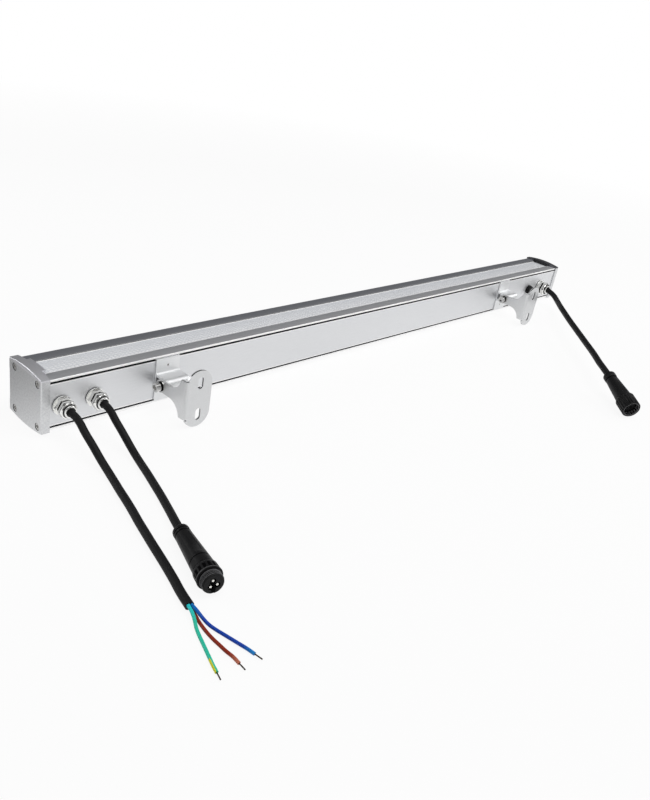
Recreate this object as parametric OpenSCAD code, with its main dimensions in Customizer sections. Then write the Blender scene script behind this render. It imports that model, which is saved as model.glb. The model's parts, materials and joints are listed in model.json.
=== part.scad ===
// Outdoor wall washer light: a metre of extruded aluminium housing with cast end
// caps, a prismatic cover over a row of LEDs, two sliding clips that carry tilting
// brackets, three cable glands, a breather plug and three short cables.
// X runs along the bar, -Y is the side with the glands and the brackets, and +Z is
// the side that gives the light. The origin is on the surface that the light stands
// on, under the middle of the box round the bar and its brackets.

/* [Body] */
// Overall length over the two end caps
body_l = 1000; // [900:10:1500]
// Width of the extruded housing
housing_w = 58; // [57:0.5:66]
// Height of the housing at its long edges
housing_h = 54; // [53:0.5:62]
// Depth of the curved underside below the long edges
belly = 2.2; // [1.2:0.1:2.6]
// Thickness of the housing's side walls
side_wall = 2.5; // [2.5:0.1:3.2]
// Height of the solid floor under the side ledges of the lower bay
floor_h = 8; // [7.5:0.1:9]
// Thickness of the metal under the deep middle of the lower bay
well_floor = 2; // [2:0.1:4]
// Thickness of the web that carries the LED board
web_t = 3; // [2:0.1:3]
// Width of one cooling groove in the underside
fin_w = 3; // [2:0.1:4]
// Pitch of the cooling grooves
fin_pitch = 8; // [6:0.1:9]

/* [Clip grooves] */
// Height of the lip outside each clip groove
lip_h = 2.5; // [2:0.1:3]
// Thickness of that lip
lip_t = 1; // [0.8:0.1:1.2]
// Width of a groove's mouth
groove_mouth = 2; // [1.8:0.1:2.4]
// Depth of a groove into the side
groove_deep = 2.2; // [2.1:0.1:2.4]
// Reach of the groove behind its lip
undercut = 1; // [0.8:0.1:1.4]

/* [Cover] */
// Width of the prismatic cover
cover_w = 27.2; // [24:0.1:29]
// Thickness of the cover
cover_t = 3; // [2.6:0.1:3.6]
// Depth of the cover's top below the housing's edges
cover_sink = 0.6; // [0.2:0.1:1]
// Height of the raised rims along the cover
cover_rim_h = 0.3; // [0.1:0.1:0.6]
// Width of those rims
cover_rim_w = 1.4; // [0.8:0.1:2]
// Width of the sealant frame round the cover
seal_w = 0.9; // [0.6:0.1:1.4]
// Depth of the sealant below the cover's top
seal_sink = 0.3; // [0.1:0.1:0.6]
// Width of the ledge that the cover lies on
ledge_w = 2.1; // [1.6:0.1:2.4]
// Thickness of that ledge
ledge_t = 1.5; // [1.2:0.1:2]

/* [End caps] */
// How far the caps stand proud of the housing all round
cap_lip = 1.5; // [1.3:0.1:2]
// Rise of a cap's curved top and bottom
crown = 3; // [1.6:0.1:4]
// Thickness of a cap's end plate
cap_t = 5; // [4.6:0.1:7]
// Depth of a cap's skirt from its outer face
cap_deep = 9.4; // [8:0.1:12]
// Reach of a cap's apron from its outer face to the sealant
apron_reach = 13.6; // [12.5:0.1:18]
// Height between the two corner lugs on the far side
lug_space = 34; // [28:0.5:38]
// Thickness of the rubber end gasket
gasket_t = 1.5; // [1:0.1:2]

/* [End screws] */
// Distance of the near screws from the housing's near side
screw_near_in = 5.5; // [5.2:0.1:6]
// Distance of the far screws from the housing's far side
screw_far_in = 9.5; // [8:0.1:11]
// Distance of the screws from the housing's long edges
screw_edge_in = 4.4; // [4.2:0.1:4.8]
// Radius of the screw's shank
screw_r = 1.6; // [1.4:0.05:1.8]
// Radius of the screw's head
screw_head_r = 3.4; // [3:0.1:3.5]
// Height of the screw's head
screw_head_h = 2.8; // [2:0.1:3]
// Depth of the recess that takes the head
screw_recess = 3.2; // [3:0.1:3.4]
// Length of the screw under its head
screw_l = 16; // [12:1:20]
// Metal from a screw's axis to the bays of the housing
screw_boss = 3; // [2.4:0.1:3.2]

/* [LEDs and optics] */
// Pitch of the LEDs
led_pitch = 26; // [22:0.5:26]
// Side of one LED
led_side = 5; // [3:0.1:6]
// Height of one LED
led_h = 1.2; // [0.8:0.1:2]
// Width of the LED board
board_w = 22; // [20:0.5:24]
// Thickness of the LED board
board_t = 1.6; // [1:0.1:2]
// Bare housing left beyond each end of the LED board
board_inset = 20; // [16:1:24]
// Overall height of the lens bar
lens_h = 4.5; // [4:0.1:6]
// Thickness of the lens bar's plate
lens_plate_t = 1.5; // [1:0.1:2]
// Gap between the lens bar and the ledges beside it
lens_gap = 2; // [1.5:0.1:2.5]
// Radius of a lens where it faces its LED
lens_low_r = 3.4; // [2.6:0.1:4]
// Radius of a lens at the plate
lens_top_r = 7.4; // [6:0.1:8]
// Radius of the lens bar's feet
lens_foot_r = 1.1; // [0.8:0.1:1.3]
// Number of LEDs between two pairs of feet
lens_foot_step = 5; // [3:1:7]

/* [Driver] */
// Length of the driver board
driver_l = 300; // [260:5:320]
// Gap between the driver board and the side walls
driver_gap = 2.5; // [2:0.1:4]
// Thickness of the driver board
driver_t = 1.6; // [1:0.1:2]
// Distance of the driver board's left end from the left end of the light
driver_inset = 200; // [180:5:260]
// Length of one terminal block
terminal_l = 12; // [10:1:16]
// Width of one terminal block
terminal_w = 18; // [16:0.5:22]
// Height that the terminal blocks reach above the ports' axis
terminal_over = 3.5; // [3:0.1:5]
// Radius of an inner lead
lead_r = 2; // [1.4:0.1:2.2]
// Bend radius of an inner lead
lead_bend = 8; // [6:0.1:9]
// Straight length of an inner lead before its bend
lead_straight = 0.3; // [0.1:0.1:1]
// Distance between two inner leads that run side by side
lead_lane = 4.3; // [4.3:0.1:5]

/* [Ports] */
// Gap between the left cap's skirt and the power gland
power_gap = 2.6; // [1:0.1:4]
// Distance between the power gland and the input gland
gland_pitch = 36; // [32:0.5:42]
// Distance of the output gland from the right end
output_inset = 53; // [48:0.5:56]
// Distance between the output gland and the breather plug
vent_pitch = 38; // [34:0.5:44]
// Depth of the ports' axis below the middle of the side
port_drop = 1.5; // [1:0.1:2]
// Thread radius of the power and input glands
gland_r = 7.4; // [7:0.1:7.8]
// Thread radius of the larger output gland
big_gland_r = 9; // [8.8:0.1:9.6]
// How far a gland's round flange reaches past its thread
flange_over = 2.6; // [2.3:0.1:3.2]
// Thickness of a gland's round flange
flange_t = 1.5; // [1:0.1:2]
// Thickness of the rubber washer under a gland
washer_t = 1; // [0.6:0.1:1.4]
// How far a gland's hexagon reaches past its thread, across flats
hex_over = 1; // [0.8:0.1:1.8]
// Height of a gland's hexagon
hex_h = 5; // [4:0.1:6]
// Gap between a gland's hexagon and its nut
nut_gap = 1.5; // [1:0.1:2]
// Height of a gland's nut
nut_h = 9; // [8:0.1:10]
// Depth of the cable's seat inside the nut's mouth
nut_mouth = 0.5; // [0.3:0.1:1]
// Rubber between the cable and the gland
gland_rubber = 0.7; // [0.5:0.1:1]
// Length of thread left inside for the locknut
tail_l = 8; // [7:0.1:9]
// Thickness of a locknut
locknut_t = 3.5; // [3:0.1:4]
// How far a locknut reaches past its thread, across flats
locknut_over = 2.1; // [1.6:0.1:2.3]
// Radius of the breather plug's cap
vent_r = 7.5; // [6.5:0.1:8]
// Height of the breather plug's cap
vent_h = 6; // [5:0.1:7]
// Radius of the breather plug's thread
vent_stem_r = 5.9; // [5:0.1:6]

/* [Clips] */
// Distance of the left clip's middle from the left end
left_clip_inset = 144.5; // [140:0.5:170]
// Distance of the right clip's middle from the right end
right_clip_inset = 179; // [170:0.5:200]
// Length of a clip along the bar
clip_l = 30; // [26:0.5:34]
// Thickness of a clip's plate
clip_t = 1.5; // [1.2:0.1:2]
// Running gap between a clip and the housing
clip_gap = 0.3; // [0.2:0.05:0.35]
// Distance of the pivot's axis in front of the housing's side
pivot_reach = 15.5; // [14:0.1:18]
// Height of the pivot's axis above the middle of the side
pivot_rise = 0.75; // [0:0.05:2]
// Radius of the barrel round the pivot
barrel_r = 7; // [6.5:0.1:7.5]
// Thickness of the walls of a clip's hollow nose
nose_wall = 2.5; // [2:0.1:3]
// Radius of the fillet between a clip's nose and its plate
nose_fillet = 2.5; // [1.5:0.1:3.5]
// Metal between the pivot bolt and that hollow
barrel_wall = 4.5; // [3.5:0.1:5.5]
// Radius of a set screw
set_r = 1.3; // [1.1:0.1:1.6]
// Height of a set screw's place above or below the middle
set_rise = 16; // [15:0.1:17.5]

/* [Brackets] */
// Distance of a bracket's outer face in front of the housing's side
bracket_reach = 56.5; // [54:0.5:62]
// Width of a bracket's plate
plate_w = 33; // [31:0.5:35]
// Radius of the plate's round ends
plate_r = 16.5; // [16:0.1:17.5]
// Thickness of the bracket's sheet
sheet_t = 2.5; // [2:0.1:3]
// Outer radius of the bend
bend_r = 4; // [3.4:0.1:4.6]
// Half the height of the flange where it meets the plate
flange_half = 21.5; // [20:0.1:22.5]
// Half the height of the flange at its neck
neck_half = 6.8; // [6.4:0.1:7.4]
// Length of the neck from the pivot to the start of the concave edges
neck_l = 14.5; // [12:0.1:18]
// Radius of the flange's concave edges
sweep_r = 17; // [15:0.1:17.5]
// Height of the relief notch at each end of the bend
notch_h = 1.2; // [0.8:0.1:2]
// Width of a fixing slot
slot_w = 6.5; // [5.5:0.1:7]
// Length of a fixing slot from end to end
slot_l = 13.5; // [11:0.1:15]
// Distance between the middles of the two slots
slot_space = 36; // [32:0.5:38]
// Distance of the slots to the right of the plate's middle
slot_shift = 1.5; // [0:0.1:2.5]

/* [Pivot bolts] */
// Radius of the pivot bolt
bolt_r = 3; // [2.5:0.1:3.5]
// Length of the bolt in the clip's barrel
bolt_grip = 24; // [18:0.5:25]
// Radius of the bolt's head
bolt_head_r = 5; // [4.5:0.1:5.6]
// Height of the bolt's head
bolt_head_h = 5; // [4:0.1:6]
// Radius of the flat washer
flat_r = 6.9; // [6.2:0.1:7]
// Thickness of the flat washer
flat_t = 1.2; // [0.8:0.1:1.6]
// Radius of the spring washer
spring_r = 5.4; // [5:0.1:6]
// Thickness of the spring washer
spring_t = 1.6; // [1.2:0.1:2]
// Running gap on each side of the bracket's flange
pivot_gap = 0.2; // [0.1:0.05:0.3]
// Radial running clearance of the bolt in its holes
bore_gap = 0.05; // [0.02:0.01:0.09]

/* [Cables] */
// Radius of the power and input cables
cable_r = 3.8; // [3.4:0.1:3.8]
// Radius of the output cable
big_cable_r = 4.4; // [4.2:0.1:4.6]
// Radius of one insulated core
core_r = 1.4; // [1.1:0.1:1.4]
// Radius of a core's bare end
strand_r = 0.7; // [0.5:0.1:0.9]
// Length of a core's bare end
strand_l = 7; // [5:0.5:9]

/* [Input connector] */
// Length of the moulded grip
in_grip_l = 48.5; // [42:0.5:54]
// Radius of the grip where the cable enters
in_grip_r = 7.3; // [6.8:0.1:7.4]
// Radius of the grip at its front end
in_front_r = 9.4; // [8.8:0.1:9.6]
// Length of the notched collar
in_collar_l = 9.5; // [8:0.1:11]
// Radius of the notched collar
in_collar_r = 9.9; // [9.8:0.1:10.3]
// Length of the flange in front of the collar
in_flange_l = 7.5; // [6:0.1:9]
// Radius of that flange
in_flange_r = 10.9; // [10.5:0.1:11]
// Length of the threaded nose
in_nose_l = 10.5; // [10:0.1:13]
// Radius of the threaded nose
in_nose_r = 9; // [8.7:0.1:9.3]
// Depth of the pin holes
in_hole_deep = 9; // [7:0.1:10]
// Radius of a pin hole
in_hole_r = 2.4; // [2:0.1:2.5]
// Radius of a pin
pin_r = 1; // [0.8:0.1:1.2]
// Distance of the pins from the connector's axis
pin_circle = 3.2; // [3.1:0.1:3.6]

/* [Output connector] */
// Length of the moulded grip
out_grip_l = 48.5; // [42:0.5:56]
// Radius of the grip where the cable enters
out_grip_r = 8.3; // [7.8:0.1:8.8]
// Radius of the grip at its front end
out_front_r = 10.6; // [10:0.1:11.2]
// Length of the coupling nut
coupling_l = 21; // [18:0.5:24]
// Radius of the coupling nut
coupling_r = 12.4; // [12.1:0.1:12.8]
// Wall of the coupling nut
coupling_wall = 2; // [1.7:0.1:2.2]
// Thickness of the coupling nut's rear web
coupling_web = 2.6; // [2.2:0.1:3.4]
// Radius of the spigot that the coupling nut turns on
spigot_r = 8.4; // [7.8:0.1:8.8]
// Radius of the flange that keeps the coupling nut on
keeper_r = 9.8; // [9.5:0.1:9.9]
// Depth of the socket face behind the coupling nut's mouth
socket_deep = 7; // [5:0.5:8]
// Radius of a contact hole in the socket face
out_hole_r = 1.5; // [1.4:0.1:1.8]
// Running gap round the coupling nut
coupling_gap = 0.3; // [0.2:0.05:0.4]

/* [Hidden] */
$fn = 64;
// Facets of the large shallow arcs
arc_fn = 720;
// Overrun of every cut
over = 1;
// Gap of a slip fit between fixed pieces
slip = 0.1;
// Gap under the cover and over the LEDs
air = 0.2;

// Half sizes of the housing and of an end cap
hw = housing_w / 2;
hh = housing_h / 2;
cap_hw = hw + cap_lip;
cap_hh = hh + cap_lip + crown;
crown_r = (cap_hw * cap_hw + crown * crown) / (2 * crown);
belly_r = (hw * hw + belly * belly) / (2 * belly);
housing_l = body_l - 2 * (cap_t + gasket_t);

// Places of the end screws from the bar's middle
screw_near = hw - screw_near_in;
screw_far = hw - screw_far_in;
screw_rise = hh - screw_edge_in;

// The plate stands as low as the caps and is centred on the pivot
plate_half = cap_hh + pivot_rise;

// Place of the bar's middle, and of its front side, in the part's frame
front_reach = hw + bracket_reach;
body_y = (front_reach - cap_hw) / 2;
body_z = cap_hh;

// Levels in the housing, from the cover down
channel_w = cover_w + 2 * seal_w;
channel_z = hh - cover_sink - cover_t;
mouth_w = cover_w - 2 * ledge_w;
ledge_z = channel_z - ledge_t;
lens_top = channel_z - air;
led_top = lens_top - lens_h - air;
web_top = led_top - led_h - board_t;
bay_top = web_top - web_t;
bay_floor = floor_h - hh;
bay_near = screw_near - screw_boss;
bay_far = screw_far - screw_boss;
groove_z = hh - lip_h - groove_mouth;
fin_rows = 2;

// Lengths along the bar
cover_l = body_l - 2 * (apron_reach + seal_w);
board_l = housing_l - 2 * board_inset;
lens_side = 4;
lens_l = board_l - 2 * lens_side;
lens_w = mouth_w - 2 * lens_gap;
led_count = floor((lens_l - 2 * lens_top_r) / led_pitch) + 1;
led_end = led_pitch * (led_count - 1) / 2;

// Ports, by name: place along the bar, thread radius and cable radius
power_x = cap_deep + power_gap + gland_r + flange_over - body_l / 2;
input_x = power_x + gland_pitch;
output_x = body_l / 2 - output_inset;
vent_x = output_x - vent_pitch;
power_port = [power_x, gland_r, cable_r];
input_port = [input_x, gland_r, cable_r];
output_port = [output_x, big_gland_r, big_cable_r];
nut_at = washer_t + flange_t + hex_h + nut_gap;
seat_at = nut_at + nut_h - nut_mouth;
bore_step = 0.4;
nut_skin = 1.5;
nut_shares = [0.42, 0.55, 0.72, 0.8, 0.94];
hex_bevel = 1.2;
core_thread = 0.6;
vent_flange = 1.2;
vent_slots = 8;
vent_slot_w = 1.4;
vent_slot_deep = 0.8;

// Driver board and what stands on it
driver_x = driver_inset - body_l / 2;
driver_half = hw - side_wall - driver_gap;
driver_top = bay_floor + driver_t;
driver_room = bay_top - driver_top;
terminal_top = terminal_over - port_drop;
choke_l = 26;
choke_w = 24;
choke_h = 0.66 * driver_room;
choke_share = 0.17;
capacitor_r = 6;
capacitor_l = 22;
capacitor_shares = [0.33, 0.38];
transformer_l = 34;
transformer_w = 28;
transformer_h = 0.73 * driver_room;
transformer_share = 0.5;
heatsink_l = 40;
heatsink_w = 8;
heatsink_h = 0.6 * driver_room;
heatsink_share = 0.72;
chip_l = 9;
chip_w = 6;
chip_h = 1.8;
chip_shares = [0.27, 0.42, 0.66, 0.87];
chip_edge = 3;
led_terminal_l = 9;
led_terminal_w = 7;
lead_in = 1;
lead_y = board_w / 2 - lead_r - lead_in;
lead_x = driver_x + driver_l - 2 * terminal_l;

// Clips and brackets
left_clip_x = left_clip_inset - body_l / 2;
right_clip_x = body_l / 2 - right_clip_inset;
hook_t = groove_mouth - 2 * clip_gap;
clip_half = groove_z + groove_mouth - clip_gap;
flange_x = clip_l / 2 + pivot_gap;
plate_y = bracket_reach - pivot_reach;
socket_share = 0.55;

// Connector details
rib_share = 0.13;
rib_cut = 0.7;
notch_count = 8;
notch_w = 3.4;
notch_deep = 1.2;
thread_pitch = 2;
thread_deep = 0.5;
edge_r = 1;
pin_tip = 0.4;
contact_tip = 2.4;
key_w = 2.4;
key_h = 1.2;
grip_flats = 18;
knurl_r = 1.4;
keeper_t = 2.4;
pin_turns = [73, 193, 313];

// Routes of the cords: points on their axes, in the part's frame
power_route = [[-478, -19, 30], [-478.8, -33.5, 28.5], [-480.1, -47.7, 22.7],
    [-480.4, -62.3, 15.8], [-480.9, -76.6, 8.8], [-482.4, -91.5, 4.5], [-486, -106.6, 4],
    [-490, -121.8, 4], [-493.7, -137, 4], [-497.7, -152.1, 4], [-502, -167, 4],
    [-506, -182.2, 4], [-510, -197.4, 4], [-513.8, -212.6, 4], [-517.7, -227.7, 4],
    [-521.9, -242.9, 4], [-526.4, -257.8, 4], [-530, -273, 4]];
input_route = [[-442, -19, 30], [-443, -31, 28.7], [-444.5, -43.2, 24], [-444.8, -55.8, 17.4],
    [-445, -68.2, 10.3], [-446.4, -81, 5.6], [-449.2, -94.3, 4], [-452.8, -107.7, 4],
    [-456.6, -121, 4], [-460.5, -134.3, 4], [-464.5, -147.6, 4], [-468.9, -160.7, 4.3],
    [-473.7, -173.6, 5.3], [-478.8, -186.5, 6.6], [-483.5, -199.5, 7.5]];
output_route = [[447, -19, 30], [441.3, -36, 26.5], [430.7, -49.1, 23.6], [416.1, -59.7, 24.9],
    [399.6, -70, 27.6], [382.8, -80.7, 30.2], [366.7, -92.3, 32], [351.5, -104.9, 32.6],
    [337, -118, 32.4], [323, -131.4, 31.9], [309.2, -144.9, 31.5], [295.5, -158.4, 31],
    [281.7, -171.6, 30.8], [267.6, -184.5, 30.9], [253.3, -197.3, 31.3], [239, -210, 31.7],
    [224.5, -222.5, 31.9], [210, -234.7, 32], [196.9, -247.5, 31.6], [186.3, -261.7, 28.9]];
earth_route = [[-531.3, -272.74, 5.2], [-533, -279.5, 4.6], [-535.5, -286, 3.4],
    [-538.5, -292, 2.2], [-541, -298.5, 1.5], [-543.5, -305.5, 1.5], [-546, -312.5, 1.5],
    [-548.5, -319.5, 1.5], [-551, -326.5, 1.5], [-553, -333, 1.5]];
live_route = [[-530, -273, 2.2], [-530.5, -280, 1.8], [-532.5, -287, 1.5], [-534, -294, 1.5],
    [-535, -301, 1.5], [-535.5, -308, 1.5], [-535.5, -315, 1.5], [-535.5, -322, 1.5],
    [-535, -329, 1.5], [-535.5, -336, 1.5]];
neutral_route = [[-528.5, -273.3, 4.8], [-529, -280, 4.6], [-529.3, -287, 3.2],
    [-529, -294, 1.8], [-528, -301, 1.5], [-526.5, -308, 1.5], [-525, -315, 1.5],
    [-523.5, -322, 1.5], [-522, -329, 1.5], [-521, -336, 1.5]];
cable_sides = 12;
core_sides = 8;
front = [0, -1, 0];
sheath_end_dir = [-0.2, -1, 0];
input_heading = 252;
output_heading = 236.1;
input_rise = 3.5;
output_rise = -13.6;

// Helpers for placing

// Puts its children, drawn round the bar's middle, in the part's frame
module at_body() {
    translate([0, body_y, body_z]) children();
}

// Extrudes a section drawn in Y and Z along the bar
module along_x(x0, l) {
    translate([x0, 0, 0]) rotate([90, 0, 90]) linear_extrude(l) children();
}

// Puts its children on a port, with their +Z pointing out of the side
module at_port(x, reach) {
    translate([x, body_y - hw - reach, body_z - port_drop]) rotate([90, 0, 0]) children();
}

// Puts its children at a point, with their +Z along a direction
module aimed(p, d) {
    translate(p) rotate([0, acos(d.z / norm(d)), atan2(d.y, d.x)]) children();
}

// A hexagonal prism of a given half width across its flats
module hex_prism(half, l) {
    cylinder(r = half / cos(30), h = l, $fn = 6);
}

// A hexagonal prism whose front corners are rounded off
module hex_nut(half, l) {
    intersection() {
        hex_prism(half, l);
        rotate_extrude() polygon([[0, 0], [half / cos(30), 0],
            [half / cos(30), l - hex_bevel / 2], [half - hex_bevel / 2, l], [0, l]]);
    }
}

function unit(v) = v / norm(v);
function mean_dir(p, i) = unit(p[i + 1] - p[i - 1]);
function ring_dir(p, i, d0, d1) = i == 0 ? unit(d0) : i == len(p) - 1 ? unit(d1) : mean_dir(p, i);
function ring(p, d, r, n) = let (s = unit(cross(d, [0, 0, 1])), u = cross(s, d))
    [for (k = [0 : n - 1]) p + r * (cos(360 * k / n) * s + sin(360 * k / n) * u)];

// A round cord swept along its route, square at both ends
module cord(p, r, n, d0, d1) {
    m = len(p);
    points = [for (i = [0 : m - 1]) each ring(p[i], ring_dir(p, i, d0, d1), r, n)];
    sides = [for (i = [0 : m - 2], k = [0 : n - 1]) let (a = i * n + k, b = i * n + (k + 1) % n)
        each [[a, b + n, b], [a, a + n, b + n]]];
    low = [for (k = [0 : n - 1]) k];
    high = [for (k = [n - 1 : -1 : 0]) (m - 1) * n + k];
    polyhedron(points = points, faces = concat(sides, [low, high]));
}

// Housing and cover

// Section of the housing's outside, grown by a gap
module housing_outline(gap = 0) {
    intersection() {
        translate([-hw - gap, -hh - belly - gap])
            square([housing_w + 2 * gap, housing_h + belly + 2 * gap]);
        translate([0, belly_r - hh - belly]) circle(r = belly_r + gap, $fn = arc_fn);
    }
}

// Section of one clip groove, the upper one on the near side
module clip_groove() {
    translate([-hw - over, groove_z]) square([groove_deep + over, groove_mouth]);
    translate([lip_t - hw, groove_z]) square([groove_deep - lip_t, groove_mouth + undercut]);
}

// Section of the housing: two bays, a web, the cover's channel and the grooves
module housing_section() {
    difference() {
        housing_outline();
        for (a = [0, 1], b = [0, 1]) mirror([a, 0]) mirror([0, b]) clip_groove();
        translate([-channel_w / 2, channel_z]) square([channel_w, hh - channel_z + over]);
        translate([-mouth_w / 2, ledge_z - slip]) square([mouth_w, ledge_t + 2 * slip]);
        translate([-bay_near, web_top]) square([bay_near + bay_far, ledge_z - web_top]);
        translate([side_wall - hw, bay_floor])
            square([housing_w - 2 * side_wall, bay_top - bay_floor]);
        translate([-bay_near, well_floor - hh])
            square([bay_near + bay_far, bay_floor - well_floor + hh + slip]);
        for (i = [-fin_rows : fin_rows])
            translate([i * fin_pitch - fin_w / 2, -hh - belly - over]) square([fin_w, belly + over]);
    }
}

// The four places of the end screws, in Y and Z
module at_screws() {
    for (y = [-screw_near, screw_far], z = [-screw_rise, screw_rise])
        translate([0, y, z]) rotate([0, 90, 0]) children();
}

module housing() {
    color("#cfd1d2") difference() {
        at_body() difference() {
            along_x(-housing_l / 2, housing_l) housing_section();
            for (a = [0, 1]) mirror([a, 0, 0])
                translate([-housing_l / 2 - over, 0, 0]) at_screws()
                    cylinder(r = screw_r + slip, h = screw_l + over);
            translate([lead_x, lead_y, bay_top - over])
                cylinder(r = lead_r + 2 * slip, h = web_t + 2 * over);
        }
        for (port = [power_port, input_port, output_port])
            at_port(port[0], -side_wall - over) cylinder(r = port[1] + slip, h = side_wall + 2 * over);
        at_port(vent_x, -side_wall - over) cylinder(r = vent_stem_r + slip, h = side_wall + 2 * over);
    }
}

module cover() {
    color("#e8ecef") at_body() along_x(-cover_l / 2, cover_l) difference() {
        translate([-cover_w / 2, channel_z]) square([cover_w, cover_t]);
        translate([cover_rim_w - cover_w / 2, channel_z + cover_t - cover_rim_h])
            square([cover_w - 2 * cover_rim_w, cover_rim_h + over]);
    }
}

module cover_seal() {
    seal_h = cover_t - seal_sink;
    color("#f4f4f2") at_body() translate([0, 0, channel_z]) difference() {
        translate([-cover_l / 2 - seal_w, -channel_w / 2, 0])
            cube([cover_l + 2 * seal_w, channel_w, seal_h]);
        translate([-cover_l / 2, -cover_w / 2, -over]) cube([cover_l, cover_w, seal_h + 2 * over]);
    }
}

module lens_bar() {
    lens_floor = lens_top - lens_h;
    plate_z = lens_top - lens_plate_t;
    foot_y = lens_w / 2 - 2 * lens_foot_r;
    foot_z = web_top + board_t;
    color("#dfe6ee") at_body() {
        translate([-lens_l / 2, -lens_w / 2, plate_z]) cube([lens_l, lens_w, lens_plate_t]);
        for (i = [0 : led_count - 1]) translate([i * led_pitch - led_end, 0, lens_floor])
            cylinder(r1 = lens_low_r, r2 = lens_top_r, h = lens_h - lens_plate_t / 2);
        for (i = [0 : lens_foot_step : led_count - 2], side = [-1, 1])
            translate([(i + 1 / 2) * led_pitch - led_end, side * foot_y, foot_z])
                cylinder(r = lens_foot_r, h = plate_z - foot_z + lens_plate_t / 2);
    }
}

module led_board() {
    color("#f0f0ea") at_body() translate([-board_l / 2, -board_w / 2, web_top])
        cube([board_l, board_w, board_t]);
}

module leds() {
    color("#f3d774") at_body() for (i = [0 : led_count - 1])
        translate([i * led_pitch - led_end - led_side / 2, -led_side / 2, web_top + board_t])
            cube([led_side, led_side, led_h]);
}

// Driver and inner leads

module driver_board() {
    color("#2f6b3c") at_body() translate([driver_x, -driver_half, bay_floor])
        cube([driver_l, 2 * driver_half, driver_t]);
}

// Puts a piece of a given length and width at a share of the driver board's length
module on_driver(share, l, w) {
    translate([driver_x + share * driver_l - l / 2, -w / 2, 0]) children();
}

module driver_parts() {
    terminal_h = terminal_top - driver_top;
    color("#3a3a3c") at_body() translate([0, 0, driver_top]) {
        for (x = [driver_x, driver_x + driver_l - terminal_l])
            translate([x, -terminal_w / 2 - lead_bend / 2, 0]) cube([terminal_l, terminal_w, terminal_h]);
        translate([lead_x - led_terminal_l / 2, lead_y - led_terminal_w / 2, 0])
            cube([led_terminal_l, led_terminal_w, terminal_h]);
        on_driver(choke_share, choke_l, choke_w) cube([choke_l, choke_w, choke_h]);
        for (share = capacitor_shares) on_driver(share, 0, capacitor_l) translate([0, 0, capacitor_r])
            rotate([-90, 0, 0]) cylinder(r = capacitor_r, h = capacitor_l);
        on_driver(transformer_share, transformer_l, transformer_w)
            cube([transformer_l, transformer_w, transformer_h]);
        on_driver(heatsink_share, heatsink_l, heatsink_w) cube([heatsink_l, heatsink_w, heatsink_h]);
        for (share = chip_shares) translate([0, chip_edge + chip_w / 2 - driver_half, 0])
            on_driver(share, chip_l, chip_w) cube([chip_l, chip_w, chip_h]);
    }
}

// A lead from a port's tail, straight in, round a bend and along to the driver
module inner_lead(x, side, straight, end_x) {
    tail_y = side_wall + tail_l - hw;
    bend_y = tail_y + straight;
    translate([x, tail_y, -port_drop]) rotate([-90, 0, 0]) cylinder(r = lead_r, h = straight);
    translate([x + side * lead_bend, bend_y, -port_drop]) rotate([0, 0, side > 0 ? 90 : 0])
        rotate_extrude(angle = 90) translate([lead_bend, 0]) circle(r = lead_r);
    translate([min(x + side * lead_bend, end_x), bend_y + lead_bend, -port_drop]) rotate([0, 90, 0])
        cylinder(r = lead_r, h = abs(end_x - x - side * lead_bend));
}

module inner_leads() {
    color("#b23a32") at_body() {
        inner_lead(power_x, 1, lead_straight + lead_lane, driver_x);
        inner_lead(input_x, 1, lead_straight, driver_x);
        inner_lead(output_x, -1, lead_straight, driver_x + driver_l);
        translate([lead_x, lead_y, terminal_top]) cylinder(r = lead_r, h = web_top - terminal_top);
    }
}

// End caps, gaskets and screws, drawn for the left end from the cap's outer face

// Section of a cap: crowned top and bottom, and corner lugs on the far side
module cap_outline() {
    difference() {
        intersection() {
            translate([-cap_hw, -cap_hh]) square([2 * cap_hw, 2 * cap_hh]);
            translate([0, cap_hh - crown_r]) circle(r = crown_r, $fn = arc_fn);
            translate([0, crown_r - cap_hh]) circle(r = crown_r, $fn = arc_fn);
        }
        translate([hw, -lug_space / 2]) square([cap_lip + over, lug_space]);
    }
}

module end_cap() {
    difference() {
        union() {
            along_x(0, cap_t) cap_outline();
            along_x(0, cap_deep) difference() {
                cap_outline();
                housing_outline(slip);
            }
            along_x(cap_t + gasket_t, apron_reach - cap_t - gasket_t) intersection() {
                cap_outline();
                translate([slip - channel_w / 2, channel_z + slip])
                    square([channel_w - 2 * slip, cap_hh - channel_z]);
            }
        }
        translate([-over, 0, 0]) at_screws() cylinder(r = screw_head_r + 3 * slip, h = screw_recess + over);
        at_screws() cylinder(r = screw_r + 3 * slip, h = cap_t + over);
    }
}

module end_gasket() {
    difference() {
        along_x(cap_t, gasket_t) housing_outline();
        at_screws() cylinder(r = screw_r + 3 * slip, h = cap_t + gasket_t + over);
    }
}

module end_screws() {
    translate([screw_recess, 0, 0]) at_screws() difference() {
        union() {
            cylinder(r = screw_r, h = screw_l);
            translate([0, 0, -screw_head_h]) cylinder(r = screw_head_r, h = screw_head_h);
        }
        translate([0, 0, -screw_head_h - over])
            hex_prism(screw_head_r * socket_share, screw_head_h / 2 + over);
    }
}

module left_end() {
    at_body() translate([-body_l / 2, 0, 0]) children();
}

module right_end() {
    at_body() mirror([1, 0, 0]) translate([-body_l / 2, 0, 0]) children();
}

module end_cap_left() {
    color("#b9bbbd") left_end() end_cap();
}

module end_cap_right() {
    color("#b9bbbd") right_end() end_cap();
}

module end_gasket_left() {
    color("#3b3b3b") left_end() end_gasket();
}

module end_gasket_right() {
    color("#3b3b3b") right_end() end_gasket();
}

module end_screws_left() {
    color("#8f9294") left_end() end_screws();
}

module end_screws_right() {
    color("#8f9294") right_end() end_screws();
}

// Glands and breather plug, drawn outwards from the housing's side

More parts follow.
